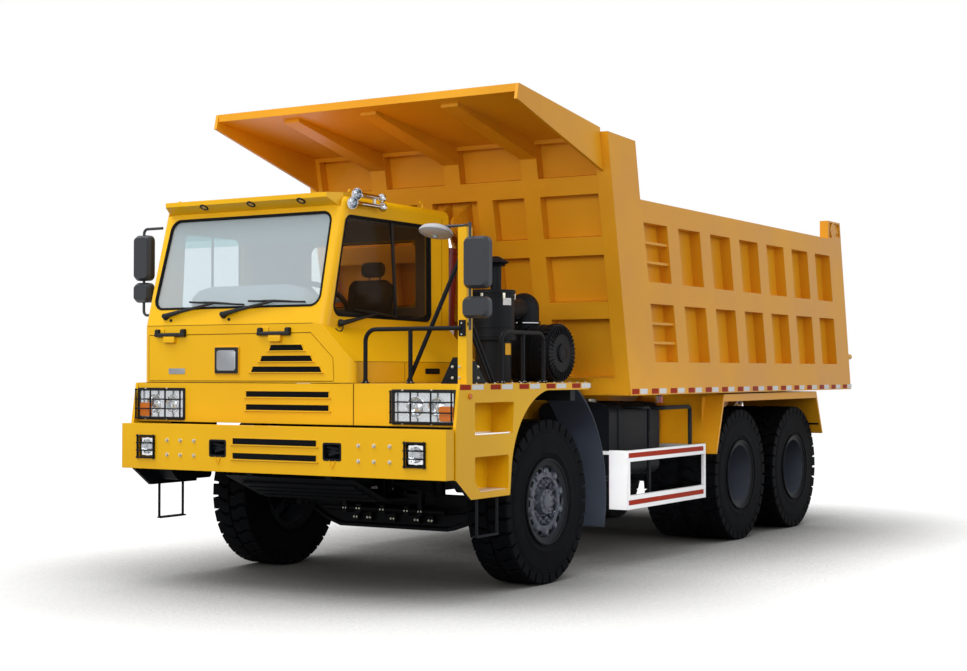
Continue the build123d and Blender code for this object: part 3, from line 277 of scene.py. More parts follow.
# dead black for sheets and blocks set in openings: painted shade, not soot
PAINTED_SHADE_BLACK = rubber("painted_shade_black_backing", "#050506", "#070708", 0.9)
CLOTH = rubber("seat_cloth", "#17181B", "#212226", 0.95)
TRIM = moulded_plastic("black_moulded_trim", "#0F1012", 0.5)
DASH = moulded_plastic("grey_dashboard_skin", "#B4B9BD", 0.7, 4.0)
LINING = moulded_plastic("cab_lining", "#83786B", 0.8, 6.0)
MIRROR_SHELL = moulded_plastic("grey_mirror_shell", "#34363B", 0.34)
CHROME = metal("bright_chrome", "#C9CCD0", 0.09)
BRUSHED = metal("brushed_badge_plate", "#8F9296", 0.36)
ZINC = metal("zinc_plated_steel", "#B9B6A8", 0.35)
TREAD_PLATE = metal("aluminium_tread_plate", "#F2F3F4", 0.5, 12.0)
ROD = metal("ground_cylinder_steel", "#C9CCD0", 0.16)
SILVERED = metal("lamp_reflector", "#E4E6E8", 0.12)
WINDSCREEN = sheet_glass("laminated_windscreen", "#F2F7F8", "#D9E3E8", 0.34)
SIDE_GLASS = sheet_glass("bronze_side_glass", "#F0EAE2", "#6A5238", 0.09)
REAR_GLASS = sheet_glass("clear_rear_glass", "#FAFAF7", "#50504C", 0.01)
DOOR_GLASS = sheet_glass("clear_door_glass", "#F5F8F9", "#8A9094", 0.02)
SHADE = sheet_glass("green_shade_band", "#D0ECEC", "#86BCC0", 0.12)
LENS = lamp_lens("clear_lamp_lens", "#F8F9FA", 9.0, 0.08)
AMBER = lamp_lens("amber_lamp_lens", "#E07A12", 6.0, 0.85)
RED_LENS = lamp_lens("red_lamp_lens", "#B3161A", 6.0, 0.85)

AXLES = (1700.0, 5830.0, 7400.0)
HUB_Z, WHEEL_X, TWIN = 675.0, 1320.0, 430.0
SIDES = ((1, "left"), (-1, "right"))
# (name, body, side, side's name, station, its tyres' places inward, ending of its nodes' names)
WHEELS = [(f"front_{tag}", f"front_wheel_{tag}", side, tag, AXLES[0], (0.0,), "") for side, tag in SIDES]
WHEELS += [(f"rear_{tag}_{n}", f"rear_wheels_{tag}_{n}", side, tag, AXLES[n], (0.0, TWIN), "s")
           for side, tag in SIDES for n in (1, 2)]

NODE_FINISH = (
    # the rear fenders take the body's more orange enamel: partly their own tone, partly painted shade for
    # their shaded front faces
    (BODY_YELLOW, "body_floor body_side_left body_side_right body_front_wall body_canopy tailgate "
                  "rear_fenders"),
    (YELLOW, "cab_shell cab_door front_hatch bumper fascia platform_left platform_right"),
    (BLACK, "frame_rails engine_block drive_line front_axle springs rear_axles knuckle_left knuckle_right "
            "tow_pins lamp_guards skid_plate handrails air_cleaner fuel_tank oil_tank"),
    (SLATE, "front_mudguards"), (WHITE, "side_guards"), (RED, "hoist_tube"), (CHROME, "air_horns"),
    (ROD, "hoist_stage_1 hoist_stage_2 hoist_stage_3 hoist_stage_4"), (DASH, "dashboard"), (CLOTH, "seats"),
    (MIRROR_SHELL, "mirrors"), (WINDSCREEN, "cab_glass"), (DOOR_GLASS, "door_glass"), (SILVERED, "headlamps"),
    (RIM_BLUE_BLACK_WITH_PAINTED_LIGHT, " ".join(f"{wheel[0]}_rim{wheel[-1]}" for wheel in WHEELS)),
    (TYRE, " ".join(f"{wheel[0]}_tyre{wheel[-1]}" for wheel in WHEELS)))
BORE_EDGE = 0.301  # metres from a wheel's axis: the rims are black from here out


def finish_nodes():
    for material, names in NODE_FINISH:
        for name in names.split():
            mesh = nodes[name].data
            mesh.materials.clear()
            mesh.materials.append(material)
    panes = nodes["cab_glass"].data
    for glass in (SIDE_GLASS, REAR_GLASS):
        panes.materials.append(glass)
    for face in panes.polygons:
        face.material_index = 1 if face.center.x > 0.3 else 2 if face.center.y > FRONT + 1.9 else 0
    # the hidden sides of the yellow step boxes take the chassis black as painted shade
    for side, tag in SIDES:
        deck = nodes[f"platform_{tag}"].data
        deck.materials.append(BLACK)
        for face in deck.polygons:
            at, way = face.center, face.normal
            below = way.z < -0.3 and at.z < 0.93 or side < 0 and way.x > 0.5 and at.z < 0.95
            ahead = way.y < -0.3 and at.y < FRONT + 0.5 and at.z < 1.12
            beside = way.x * side < -0.5 and abs(at.x) < 1.405
            face.material_index = int(below or abs(at.x) < 1.578 and (ahead or beside))
    # a blue-black disc, lightened as painted light, inside a black rim, and black on the side that faces the
    # frame
    for name, _body, side, _tag, station, _inward, ending in WHEELS:
        mesh = nodes[f"{name}_rim{ending}"].data
        mesh.materials.append(BLACK)
        hub = spot(0, station, HUB_Z).yz
        for face in mesh.polygons:
            outside = (face.center.yz - hub).length > BORE_EDGE
            face.material_index = int(face.normal.x * side < -0.3 or outside)


# ---------------- making pieces
BASES = {
    "front": ((1, 0, 0), (0, 0, 1)), "rear": ((-1, 0, 0), (0, 0, 1)), "left": ((0, 1, 0), (0, 0, 1)),
    "right": ((0, -1, 0), (0, 0, 1)), "up": ((1, 0, 0), (0, 1, 0)), "down": ((1, 0, 0), (0, -1, 0))}


def spot(x, s, z):
    """A point from its place across, station and height."""
    return Vector((x * MM, FRONT + s * MM, z * MM))


def place(x, s, z, facing="front"):
    """A flat working place: its local Z points the way it faces, and its Y is up."""
    right, up = (Vector(axis) for axis in BASES[facing])
    basis = Matrix((right, up, right.cross(up))).transposed().to_4x4()
    return Matrix.Translation(spot(x, s, z)) @ basis


def shifted(where, x, y, z):
    return where @ Matrix.Translation((x * MM, y * MM, z * MM))


def spun(where, angle, x=0.0, y=0.0, z=0.0):
    """A place turned about its own Z axis by degrees and then shifted."""
    return shifted(where @ Matrix.Rotation(radians(angle), 4, "Z"), x, y, z)


def tipped(where, angle):
    """A place turned about its own X axis by degrees."""
    return where @ Matrix.Rotation(radians(angle), 4, "X")


def ring(radius, sides=16, turn=0.0):
    """Outline of a circle, or of a polygon."""
    turns = [radians(turn) + 2 * pi * i / sides for i in range(sides)]
    return [(radius * cos(angle), radius * sin(angle)) for angle in turns]


def corners_of(points):
    """Each corner, the ways to the ones before and after it, and half the angle between them."""
    for i, point in enumerate(points):
        here = Vector(point)
        before = (Vector(points[i - 1]) - here).normalized()
        after = (Vector(points[(i + 1) % len(points)]) - here).normalized()
        yield here, before, after, before.angle(after) / 2


def rounded(points, corner, steps=5):
    """A convex outline with its corners rounded off."""
    outline = []
    for here, before, after, half in corners_of(points):
        centre = here + (before + after).normalized() * corner / sin(half)
        start, end = (here + way * corner / tan(half) - centre for way in (before, after))
        for step in range(steps + 1):
            outline.append(tuple(centre + start.lerp(end, step / steps).normalized() * corner))
    return outline


def grown(points, by):
    """A convex outline moved outward, or inward with a negative distance."""
    return [tuple(here - (before + after).normalized() * by / sin(half))
            for here, before, after, half in corners_of(points)]


def oblong(width, height, corner=0.0, at=(0.0, 0.0)):
    """A rectangle round a point, with rounded corners if asked."""
    quarters = ((-1, -1), (1, -1), (1, 1), (-1, 1))
    corners = [(at[0] + x * width / 2, at[1] + y * height / 2) for x, y in quarters]
    return rounded(corners, corner, 4) if corner else corners


def bridge(bm, loops):
    """Faces between each loop of vertices and the next."""
    for low, high in zip(loops, loops[1:]):
        for i in range(len(low)):
            bm.faces.new((low[i - 1], low[i], high[i], high[i - 1]))


def skin(bm, where, layers, ends=True):
    """Skins equal outlines at their levels. Without ends it closes on itself, as a ring."""
    where = place(*where) if isinstance(where, tuple) else where
    loops = [[bm.verts.new(where @ Vector((x * MM, y * MM, up * MM))) for x, y in outline]
             for outline, up in layers]
    bridge(bm, loops if ends else loops + loops[:1])
    if ends:
        bm.faces.new(loops[0][::-1])
        bm.faces.new(loops[-1])


def block(bm, where, *layers, at=(0.0, 0.0), ends=True):
    """Skins rectangles given as (width, height, corner, level)."""
    skin(bm, where, [(oblong(width, height, corner, at), up) for width, height, corner, up in layers], ends)


def sheet(bm, where, size, low, high, at=(0.0, 0.0)):
    """A plate from (width, height, corner) between two levels."""
    block(bm, where, (*size, low), (*size, high), at=at)


def slab(bm, x, s, z):
    """A block between two values across, along and up."""
    x = sorted(x)
    corners = [(x[0], s[0]), (x[1], s[0]), (x[1], s[1]), (x[0], s[1])]
    skin(bm, (0, 0, 0, "up"), [(corners, z[0]), (corners, z[1])])


def turned(bm, where, profile, sides=24, ends=True):
    """A lathed form from (radius, level) pairs about the place's Z axis."""
    skin(bm, where, [(ring(radius, sides), up) for radius, up in profile], ends)


def tube(bm, where, profile, sides):
    """A lathed form that is open along its axis."""
    turned(bm, where, profile, sides, ends=False)


def bolt(bm, where, flats):
    """A hex-head screw on its washer; flats is the spanner size."""
    turned(bm, where, [(flats * 0.72, -1.0), (flats * 0.72, flats * 0.1), (flats * 0.66, flats * 0.14)], 14)
    head = ((0.577, 0.1), (0.577, 0.6), (0.48, 0.7))
    turned(bm, where, [(flats * radius, flats * up) for radius, up in head], 6)


def bolts(bm, flats, across, stations, heights, facing="front"):
    """Screws at each mix of the places given."""
    for x, s, z in product(across, stations, heights):
        bolt(bm, (x, s, z, facing), flats)


def along(start, end):
    """A place at the first of two points in metres that faces the second."""
    return Matrix.Translation(start) @ (end - start).to_track_quat("Z", "Y").to_matrix().to_4x4()


def taper(bm, start, end, radii, sides):
    """A round bar between two points in metres, tapered from the first radius to the second."""
    turned(bm, along(start, end), [(radii[0], 0), (radii[1], (end - start).length / MM)], sides)


def bar(bm, start, end, radius, sides=12, tip=None):
    """A round bar between two places."""
    taper(bm, spot(*start), spot(*end), (radius, tip or radius), sides)


def ridden(made, material, body):
    """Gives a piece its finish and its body."""
    made.data.materials.append(material)
    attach(made, body)
    return made


def mesh_of(name, bm):
    """The finished mesh, with its faces turned outward."""
    bmesh.ops.recalc_face_normals(bm, faces=bm.faces)
    mesh = bpy.data.meshes.new(name)
    bm.to_mesh(mesh)
    bm.free()
    return mesh


def piece(name, bm, material, soft=0, body="chassis", slot=None, sharp=32):
    """A piece that rides on a body; edges past sharp degrees stay creased, soft rounds them off."""
    bmesh.ops.recalc_face_normals(bm, faces=bm.faces)
    for face in bm.faces:
        face.smooth = True
    for edge in bm.edges:
        edge.smooth = len(edge.link_faces) == 2 and edge.calc_face_angle(0.0) < radians(sharp)
    made = linked(name, mesh_of(name, bm))
    if soft:
        edge_round = made.modifiers.new("edge_round", "BEVEL")
        edge_round.width, edge_round.segments = soft * MM, 2
        edge_round.limit_method, edge_round.angle_limit = "ANGLE", radians(40)
    return ridden(made, material, body)


def draws(**finishes):
    """Runs a function at once on a mesh for each piece; a piece is name=(material, soft, body, slot), and the
    slot is not used.
    """
    def run(draw):
        meshes = [bmesh.new() for _name in finishes]
        draw(*meshes)
        for bm, (name, finish) in zip(meshes, finishes.items()):
            piece(name, bm, *finish)
    return run


def wire(name, points, radius, material):
    """A bent rod or pipe of the chassis that runs smoothly near its corner points."""
    data = bpy.data.curves.new(name, "CURVE")
    data.dimensions, data.bevel_depth, data.bevel_resolution = "3D", radius * MM, 2
    data.use_fill_caps = True
    line = data.splines.new("NURBS")
    line.points.add(len(points) - 1)
    for knot, point in zip(line.points, points):
        knot.co = (*spot(*point), 1.0)
    line.order_u, line.use_endpoint_u, line.resolution_u = 3, True, 6
    return ridden(linked(name, data), material, "chassis")


# ---------------- seats
PAD_CAP, CHANNEL_DEPTH = 14.0, 11.0
SITTERS = ((-150, "driver"), (-1050, "mate"))
# (part, size, corner, sewn channels across, place of the ones along, place of the pad)
COVERS = (("cushion", (470, 520, 118), 80, (-0.35, 0.2), 0.6, place(0, 1215, 1962, "up")),
          ("back", (450, 480, 104), 80, (-0.45, 0.1, 0.6), 0.6, tipped(place(0, 1540, 2300), -9)),
          ("head_rest", (230, 130, 74), 46, (), 2.0, tipped(place(0, 1592, 2622), -6)))


def bake(holder):
    """Applies an object's modifiers to its mesh."""
    depsgraph = bpy.context.evaluated_depsgraph_get()
    holder.data = bpy.data.meshes.new_from_object(holder.evaluated_get(depsgraph), depsgraph=depsgraph)
    holder.modifiers.clear()


def stuffed(name, size, corner, channels, wings):
    """A seat pad: a rounded block, blown up by cloth simulation, capped, and pulled in along its channels."""
    width, length, thick = size
    roll = thick * 0.32
    bm = bmesh.new()
    skin(bm, Matrix.Identity(4), [
        (rounded(oblong(width - inset * roll, length - inset * roll), corner, 6), level) for inset, level in (
            (2, 0), (0.5, roll * 0.35), (0, roll),
            (0, thick - roll), (0.5, thick - roll * 0.35), (2, thick))])
    holder = linked(name, mesh_of("pad", bm))
    grid = holder.modifiers.new("grid", "REMESH")
    grid.mode, grid.voxel_size = "VOXEL", 9.0 * MM
    bake(holder)
    before = [v.co.copy() for v in holder.data.vertices]
    swell = holder.modifiers.new("swell", "CLOTH")
    swell.settings.use_pressure, swell.settings.uniform_pressure_force = True, 4.0
    swell.settings.effector_weights.gravity, swell.settings.quality = 0.0, 5
    for number in range(1, 21):
        bpy.context.scene.frame_set(number)
    bake(holder)
    bpy.context.scene.frame_set(1)
    for vertex, old in zip(holder.data.vertices, before):
        moved = vertex.co - old
        if moved.length > PAD_CAP * MM:
            vertex.co = old + moved.normalized() * PAD_CAP * MM
        x, y, z = vertex.co / MM
        u, v = 2 * x / width, 2 * y / length
        on_face = min(1.0, max(0.0, (z - thick * 0.55) / (thick * 0.2)))
        pulls = [1 - abs(v - line) / 0.05 for line in channels if abs(u) < wings + 0.03]
        pull = max([0.0, (1 - abs(abs(u) - wings) / 0.05) * (abs(v) < 0.96), *pulls])
        z -= CHANNEL_DEPTH * pull ** 0.6 * on_face
        # piping seam round the cover's edge
        nip = 1 - 0.012 * max(0.0, 1 - abs(z - thick * 0.74) / 5)
        vertex.co = Vector((x * nip, y * nip, z)) * MM
    made = holder.data
    bpy.data.objects.remove(holder)
    return made


def make_seats():
    for part, size, corner, channels, wings, where in COVERS:
        cover = stuffed(part, size, corner, channels, wings)
        for x, who in SITTERS:
            bm = bmesh.new()
            bm.from_mesh(cover)
            bm.transform(Matrix.Translation((x * MM, 0, 0)) @ where)
            made = piece(f"{who}_seat_{part}", bm, CLOTH, sharp=80)
            smooth = made.modifiers.new("smooth", "SUBSURF")
            smooth.levels = smooth.render_levels = 1
    for x, who in SITTERS:
        bm = bmesh.new()
        slab(bm, (x - 170, x + 170), (1060, 1400), (1700, 1760))
        block(bm, (x, 1230, 1760, "up"), (200, 220, 30, 0), (200, 220, 30, 20), (320, 330, 30, 150),
              (400, 430, 40, 203))
        # folds of the suspension's bellows
        for width in range(216, 336, 24):
            block(bm, (x, 1230, width + 1566, "up"), (width, width + 20, 40, 0),
                  (width + 24, width + 44, 44, 9), (width, width + 20, 40, 18))
        block(bm, tipped(place(x, 1554, 2298, "rear"), 9), (390, 440, 60, -8), (390, 440, 60, 20),
              (330, 380, 60, 40))
        for off in (-55, 55):
            bar(bm, (x + off, 1572, 2500), (x + off, 1584, 2600), 7, 10)
        held = piece(f"{who}_seat_frame", bm, TRIM, 3)
        if who == "driver":
            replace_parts(held, "seats")


make_seats()


# ---------------- tyres and wheels
TREAD_R, PITCHES, SHOULDER = 674.4, 34, 184.4
# half of the carcass, from the bead up the sidewall to the middle of the tread: (radius, along)
CARCASS = (
    (338, 150), (352, 166), (372, 174), (400, 181), (404, 184), (412, 184.6), (418, 182.5), (470, 184.6),
    (520, 184.8), (556, 183.5), (560, 180.5), (568, 180.5), (572, 183), (596, 180), (616, 170), (628, 150),
    (633, 90), (634, 0))
# one lug on the unrolled tread: (round the tyre, from the middle out, radius of its root)
LUG = ((-50, SHOULDER, 592), (50, SHOULDER, 592), (50, 118, 628), (82, 66, 631), (80, 7, 631), (-17, 7, 631),
       (-13, 60, 631), (-50, 112, 628))
# (share of the lug's height, how far its outline is drawn in, place of its shoulder)
LUG_LEVELS = ((0.0, -5.0, SHOULDER - 1.6), (0.86, 0.0, SHOULDER), (1.0, 5.0, SHOULDER - 7.0))


def make_lug(bm, angle, side):
    """A tread lug: undercut root, drafted walls, soft top edge, and a shoulder down the sidewall."""
    middle = Vector((sum(p[0] for p in LUG) / len(LUG), sum(p[1] for p in LUG) / len(LUG)))
    loops = []
    for level, inset, shoulder in LUG_LEVELS:
        loop = []
        for round_mm, out, root in LUG:
            here = Vector((round_mm, out))
            here -= (here - middle).normalized() * inset
            radius = root + (TREAD_R - root) * level
            if out > 180:
                here.y = shoulder
            turn = angle + here.x / TREAD_R
            loop.append(bm.verts.new(Vector((side * here.y, radius * cos(turn), radius * sin(turn))) * MM))
        loops.append(loop)
    bridge(bm, loops)
    bm.faces.new(loops[-1])


def tyre_mesh():
    """One earth-mover tyre about the X axis, at the origin."""
    bm = bmesh.new()
    profile = [(r, -a) for r, a in CARCASS] + [(r, a) for r, a in CARCASS[-2::-1]]
    loops = [[bm.verts.new(Vector((x, y, z)) * MM) for y, z in ring(radius, 2 * PITCHES)]
             for radius, x in profile]
    bridge(bm, loops)
    for number in range(PITCHES):
        for side, _tag in SIDES:
            # the two rows are staggered by half a pitch
            make_lug(bm, (number + 0.25 * side) * 2 * pi / PITCHES, side)
    return mesh_of("tyre", bm)


def make_tyres():
    pattern = tyre_mesh()
    for name, body, side, _tag, station, inward, ending in WHEELS:
        bm = bmesh.new()
        for step in inward:
            tyre = pattern.copy()
            tyre.transform(Matrix.Translation(spot(side * (WHEEL_X - step), station, HUB_Z)))
            bm.from_mesh(tyre)
        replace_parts(piece(f"{name}_lugged_tyre", bm, TYRE, 0, body, sharp=30), f"{name}_tyre{ending}")


# nut circle's radius and level, nut's and flange screw's spanner size, stud's end, number of flange screws,
# their circle's radius and level, the hub cap's profile and the bevel of the edges
FRONT_HUB = (172, 142, 36, 14, 33, 10, 82, 176, [(64, 172), (64, 182), (56, 186), (20, 187)], 2.5)
REAR_HUB = (160, -138, 34, 15, 34, 8, 78, -18, [(60, -20), (60, -10), (50, -4), (14, -3)], 2.0)
DISC_RING = [(291, 58), (291, 128), (283, 142), (262, 154), (224, 164), (206, 166), (198, 158), (198, 58)]
LOCK_RING = [(340, 168), (349, 172), (351, 184), (345, 189), (337, 186), (335, 172)]


def make_wheel_fittings():
    for name, body, side, tag, station, inward, _ending in WHEELS:
        face = place(side * WHEEL_X, station, HUB_Z, tag)
        steered = len(inward) == 1
        hub = FRONT_HUB if steered else REAR_HUB
        across, level, flats, small, stud, count, inner, inner_level, cap, soft = hub
        bm, holes, lock = bmesh.new(), bmesh.new(), bmesh.new()
        for number in range(10):
            nut = spun(face, 36 * number, across, 0, level)
            bolt(bm, nut, flats)
            turned(bm, nut, [(10, 20), (10, stud), (8, stud + 2)], 10)
            if steered:
                # rounded lump on the disc between two hand holes
                block(bm, spun(face, 36 * number + 18, 248, 0, 132), (64, 66, 22, 0), (58, 60, 20, 34),
                      (38, 42, 14, 46))
                # a dead-black block fills each hand hole: painted shade of the hole
                sheet(holes, spun(face, 36 * number, 256, 0, 120), (46, 56, 22), 0, 37.5)
        for number in range(count):
            bolt(bm, spun(face, 360 * number / count, inner, 0, inner_level), small)
        turned(bm, face, cap, 28)
        tube(lock, face, LOCK_RING, 72)
        if steered:
            tube(bm, face, DISC_RING, 80)
            # tyre valve
            turned(bm, spun(face, 17.188734, 292, 0, 60), [(9, 0), (9, 60), (6, 62), (6, 84)], 10)
            piece(f"front_hand_holes_{tag}", holes, PAINTED_SHADE_BLACK, 0, body, "rim_black")
        piece(name.replace("_", "_hub_fittings_", 1), bm, RIM_BLUE_BLACK_WITH_PAINTED_LIGHT, soft, body)
        piece(name.replace("_", "_lock_ring_", 1), lock, BLACK, 0, body, "rim_black")


make_tyres()
make_wheel_fittings()


# ---------------- bumper, grilles and lamps
FASCIA_S = 170.0
LAMP_SPANS, LAMP_Z = ((-1576.0, -1068.0), (1010.0, 1576.0)), (1352.0, 1600.0)
FOG_X, FOG_Z = 1328.0, 1127.0
# (name, body, station of the sheet's face, lean of a slot's ends, slots: left, right, low, high)
GRILLES = (("bumper", "chassis", 0.0, 0, ((-409, 417, 1052, 1098), (-409, 417, 1168, 1214))),
           ("fascia", "chassis", FASCIA_S, 0, ((-415, 408, 1436, 1480), (-415, 408, 1541, 1585))),
           ("hatch", "service_hatch", FASCIA_S, 22,
            ((-365, 340, 1738, 1782), (-273, 251, 1824, 1868), (-182, 163, 1910, 1954))))


def lattice(bm, where, width, height, cell=11.0, half=1.7, thick=1.2):
    """Expanded-metal mesh: crossing slanted strands in a rectangle round the place."""
    run = height / tan(radians(60))
    count = int((width - run) / cell)
    low, high = -height / 2, height / 2
    for number, (way, level) in product(range(count + 1), ((1, 0.0), (-1, thick))):
        foot = way * (-width / 2 + number * (width - run) / count)
        head = foot + way * run
        strand = [(foot - half, low), (foot + half, low), (head + half, high), (head - half, high)]
        skin(bm, where, [(strand, level), (strand, level + thick)])


def make_grilles():
    """Meshed air slots: expanded metal over a dead-black sheet that is painted shade of the opening, over
    each louvre.
    """
    for name, body, station, lean, slots in GRILLES:
        mesh, backing, lips = bmesh.new(), bmesh.new(), bmesh.new()
        for left, right, low, high in slots:
            middle = place((left + right) / 2, station - 1.6, (low + high) / 2)
            lattice(mesh, middle, right - left - lean, high - low)
            outline = [(left, low), (right, low), (right - lean, high), (left + lean, high)]
            # a dead-black sheet behind each slot: painted shade of the opening
            skin(backing, (0, station, 0), [(outline, -0.5), (outline, 1.2)])
            skin(lips, (0, station, 0), [(grown(outline, 9), -0.5), (grown(outline, 7), 3.5),
                                         (grown(outline, 1), 3.5), (outline, -0.5)], ends=False)
        piece(f"{name}_grille_mesh", mesh, BLACK, 0, body)
        piece(f"{name}_grille_backing", backing, PAINTED_SHADE_BLACK, 0, body, "chassis_black")
        piece(f"{name}_grille_rims", lips, YELLOW, 0, body)


make_grilles()


@draws(bumper_bolts=(ZINC,), tow_pocket_castings=(BLACK, 2))
def bumper_fittings(screws, castings):
    outer, inner = oblong(176, 140, 18), oblong(148, 106, 12)
    for side, tag in SIDES:
        bolts(screws, 22, (side * 815, side * 958, side * 1101), (0,), (1067, 1185))
        # cast tow pocket: a rim inside the opening and the pin's cross handle, with its pull loop
        x, z = side * 567, 1131
        rim = [(outer, -6), (outer, 3), (grown(inner, 3), 5), (inner, 3), (inner, -6)]
        skin(castings, (x, 0, z), rim, ends=False)
        bar(castings, (x - 66, 30, 1168), (x + 50, 30, 1150), 15, 14)
        bar(castings, (x - 40, 26, 1104), (x + 62, 26, 1128), 17, 14, 13)
        turned(castings, (x - 6, 40, z), [(30, 0), (30, 14), (22, 20)], 20)
        loop = [(x - 22, -3, 1066), (x - 14, -9, 1040), (x + 2, -10, 1006),
                (x + 12, -10, 1006), (x + 24, -9, 1040), (x + 34, -3, 1066)]
        wire(f"tow_pin_loop_{tag}", loop, 3.2, YELLOW)


@draws(headlamp_bezels=(TRIM, 1), headlamp_lenses=(LENS,), flasher_lenses=(AMBER,),
       headlamp_reflectors=(SILVERED,), headlamp_bulbs=(WHITE, 0, "chassis", "lamp"),
       lamp_guard_screws=(ZINC,))
def headlamps(bezels, glass, amber, bright, bulbs, clips):
    low, high = LAMP_Z
    z, tall = (low + high) / 2, high - low
    for left, right in LAMP_SPANS:
        x, wide = (left + right) / 2, right - left
        outward = 1 if x > 0 else -1
        front = place(x, FASCIA_S, z)
        block(bezels, front, (wide + 18, tall + 18, 14, -2), (wide + 18, tall + 18, 14, 6),
              (wide - 22, tall - 22, 12, 9), (wide - 32, tall - 32, 10, 5), (wide - 32, tall - 32, 10, -2),
              ends=False)
        block(glass, front, (wide - 30, tall - 30, 10, -3.5), (wide - 34, tall - 34, 10, 2))
        # flasher in the outer lower corner, behind its own lens
        corner = outward * (wide / 2 - 82)
        block(amber, front, (128, 112, 12, -2), (124, 108, 12, 5), at=(corner, -tall / 2 + 76))
        block(amber, front, (80, 44, 8, -2), (76, 40, 8, 4), at=(corner - outward * 8, -tall / 2 + 40))
        for off, bowl in ((-80, 78), (110, 70)):
            rim = [(bowl + 6, 0), (bowl + 6, 4), (bowl, 5), (bowl - 3, 0)]
            tube(bright, (x + off, FASCIA_S + 4, z), rim, 36)
            turned(bright, (x + off, FASCIA_S + 50, z), [(40, 0), (34, 22), (18, 30), (6, 33)])
            turned(bulbs, (x + off, FASCIA_S + 24, z), [(14, 0), (14, 14), (9, 20), (3, 22)], 16)
        bolts(clips, 13, (x - wide / 3, x + wide / 8), (FASCIA_S - 6,), (low - 1, high + 1))
    plate, hole = oblong(148, 140, 20), ring(64, 20, 189)
    for x in (FOG_X, -FOG_X):
        fog = place(x, 14, FOG_Z)
        turned(bright, fog, [(60, -26), (50, -28), (24, -36), (8, -38)], 32)
        turned(glass, fog, [(60, -6), (58, 4), (40, 12), (14, 16)], 32)
        skin(bright, fog, [(plate, -1), (plate, 5), (hole, 5), (hole, -1)], ends=False)
        # square frame of the guard's foot
        block(bezels, (x, 0, FOG_Z), (190, 192, 8, 0), (190, 192, 8, 7), (172, 170, 6, 7), (172, 170, 6, 0),
              ends=False)
        bolts(clips, 11, (x - 88, x + 88), (-7,), (FOG_Z - 92, FOG_Z + 92))


# ---------------- cab outside
DECK_Z, DECK_EDGE_X = 1650.0, 1610
CAB_LEFT_X, DOOR_X, FLARE_X = 370, -1530, 640
SCREEN_FOOT_X, SCREEN_FOOT_Z, SCREEN_LEAN = -580, 2125, 15.3
VISOR_PITCH = degrees(atan2(58, 103))
ON_SCREEN = tipped(place(SCREEN_FOOT_X, FASCIA_S, SCREEN_FOOT_Z), -SCREEN_LEAN)
SIDE_WINDOW = [(270, 2190), (1670, 2175), (1660, 2985), (455, 2985)]
REAR_WINDOW = [(1180, 2900), (-20, 2900), (-20, 2320), (1180, 2320)]
DOOR_WINDOW = [(-640, 2940), (-1410, 2940), (-1410, 2260), (-600, 2260)]
# (name, place, outline, corner, body)
WINDOWS = (
    ("windscreen", ON_SCREEN, [(-862, 145), (862, 145), (835, 925), (-835, 925)], 85, "chassis"),
    ("side_window", place(CAB_LEFT_X, 0, 0, "left"), SIDE_WINDOW, 70, "chassis"),
    ("rear_window", place(0, 2010, 0, "rear"), REAR_WINDOW, 80, "chassis"),
    ("door_window", place(DOOR_X, 0, 0, "right"), DOOR_WINDOW, 60, "door_right"))
# section of a glazing rubber, lipped over glass and panel: (outward, change of corner, level)
SEAL_SECTION = ((10, 10, -1), (10, 10, 4.2), (4, 4, 7), (-5, -4, 5.6), (-10, -8, 0), (-10, -8, -16))
for name, where, outline, corner, body in WINDOWS:
    rubber_strip = bmesh.new()
    skin(rubber_strip, where, [(rounded(grown(outline, out), corner + change), level)
                               for out, change, level in SEAL_SECTION], ends=False)
    piece(f"{name}_seal", rubber_strip, SEAL, 0, body)


@draws(side_window_slider_frame=(TRIM,), door_window_slider_bar=(TRIM, 0, "door_right"))
def sliding_panes(window, door):
    pane, post = place(352, 0, 0, "left"), [(1146, 2180), (1178, 2180), (1112, 2982), (1080, 2982)]
    skin(window, pane, [(post, 0), (post, 14)])
    outer, inner = rounded(grown(SIDE_WINDOW, -6), 62), rounded(grown(SIDE_WINDOW, -34), 44)
    skin(window, pane, [(outer, -4), (outer, 0), (inner, 0), (inner, -4)], ends=False)
    slab(door, (-1508, -1494), (1002, 1020), (2262, 2938))


def screen_point(x, height):
    """In-plane place of a point of the windscreen's plane."""
    return x - SCREEN_FOOT_X, (height - SCREEN_FOOT_Z) / cos(radians(SCREEN_LEAN))


# bars of a wiper, as (0 for the arm or 1 for the blade, share along and level at each end, radii, sides)
WIPER_BARS = (
    (0, 0, 28, 0.3, 32, (21, 17), 8), (0, 0.28, 32, 1, 30, (15, 10), 8), (1, 0, 9, 1, 9, (8, 8), 6),
    (1, 0, 17, 1, 17, (7, 7), 4), (1, 0.14, 14, 0.28, 26, (8, 7), 6), (1, 0.28, 26, 0.42, 14, (8, 7), 6),
    (1, 0.58, 14, 0.72, 26, (8, 7), 6), (1, 0.72, 26, 0.86, 14, (8, 7), 6),
    (1, 0.28, 24, 0.5, 33, (9, 10), 6), (1, 0.5, 33, 0.72, 24, (10, 9), 6))


def wiper(bm, where, pivot, knuckle, start, end):
    """Arm, yokes and blade of a wiper, laid out in the plane of its glass."""
    lines = [[Vector((*point, 0.0)) for point in pair] for pair in ((pivot, knuckle), (start, end))]
    turned(bm, shifted(where, *pivot, 0), [(30, -4), (30, 12), (24, 20), (20, 40), (12, 48)], 20)
    for line, near, low, far, high, radii, sides in WIPER_BARS:
        foot, head = (where @ ((lines[line][0].lerp(lines[line][1], share) + Vector((0, 0, level))) * MM)
                      for share, level in ((near, low), (far, high)))
        taper(bm, foot, head, radii, sides)


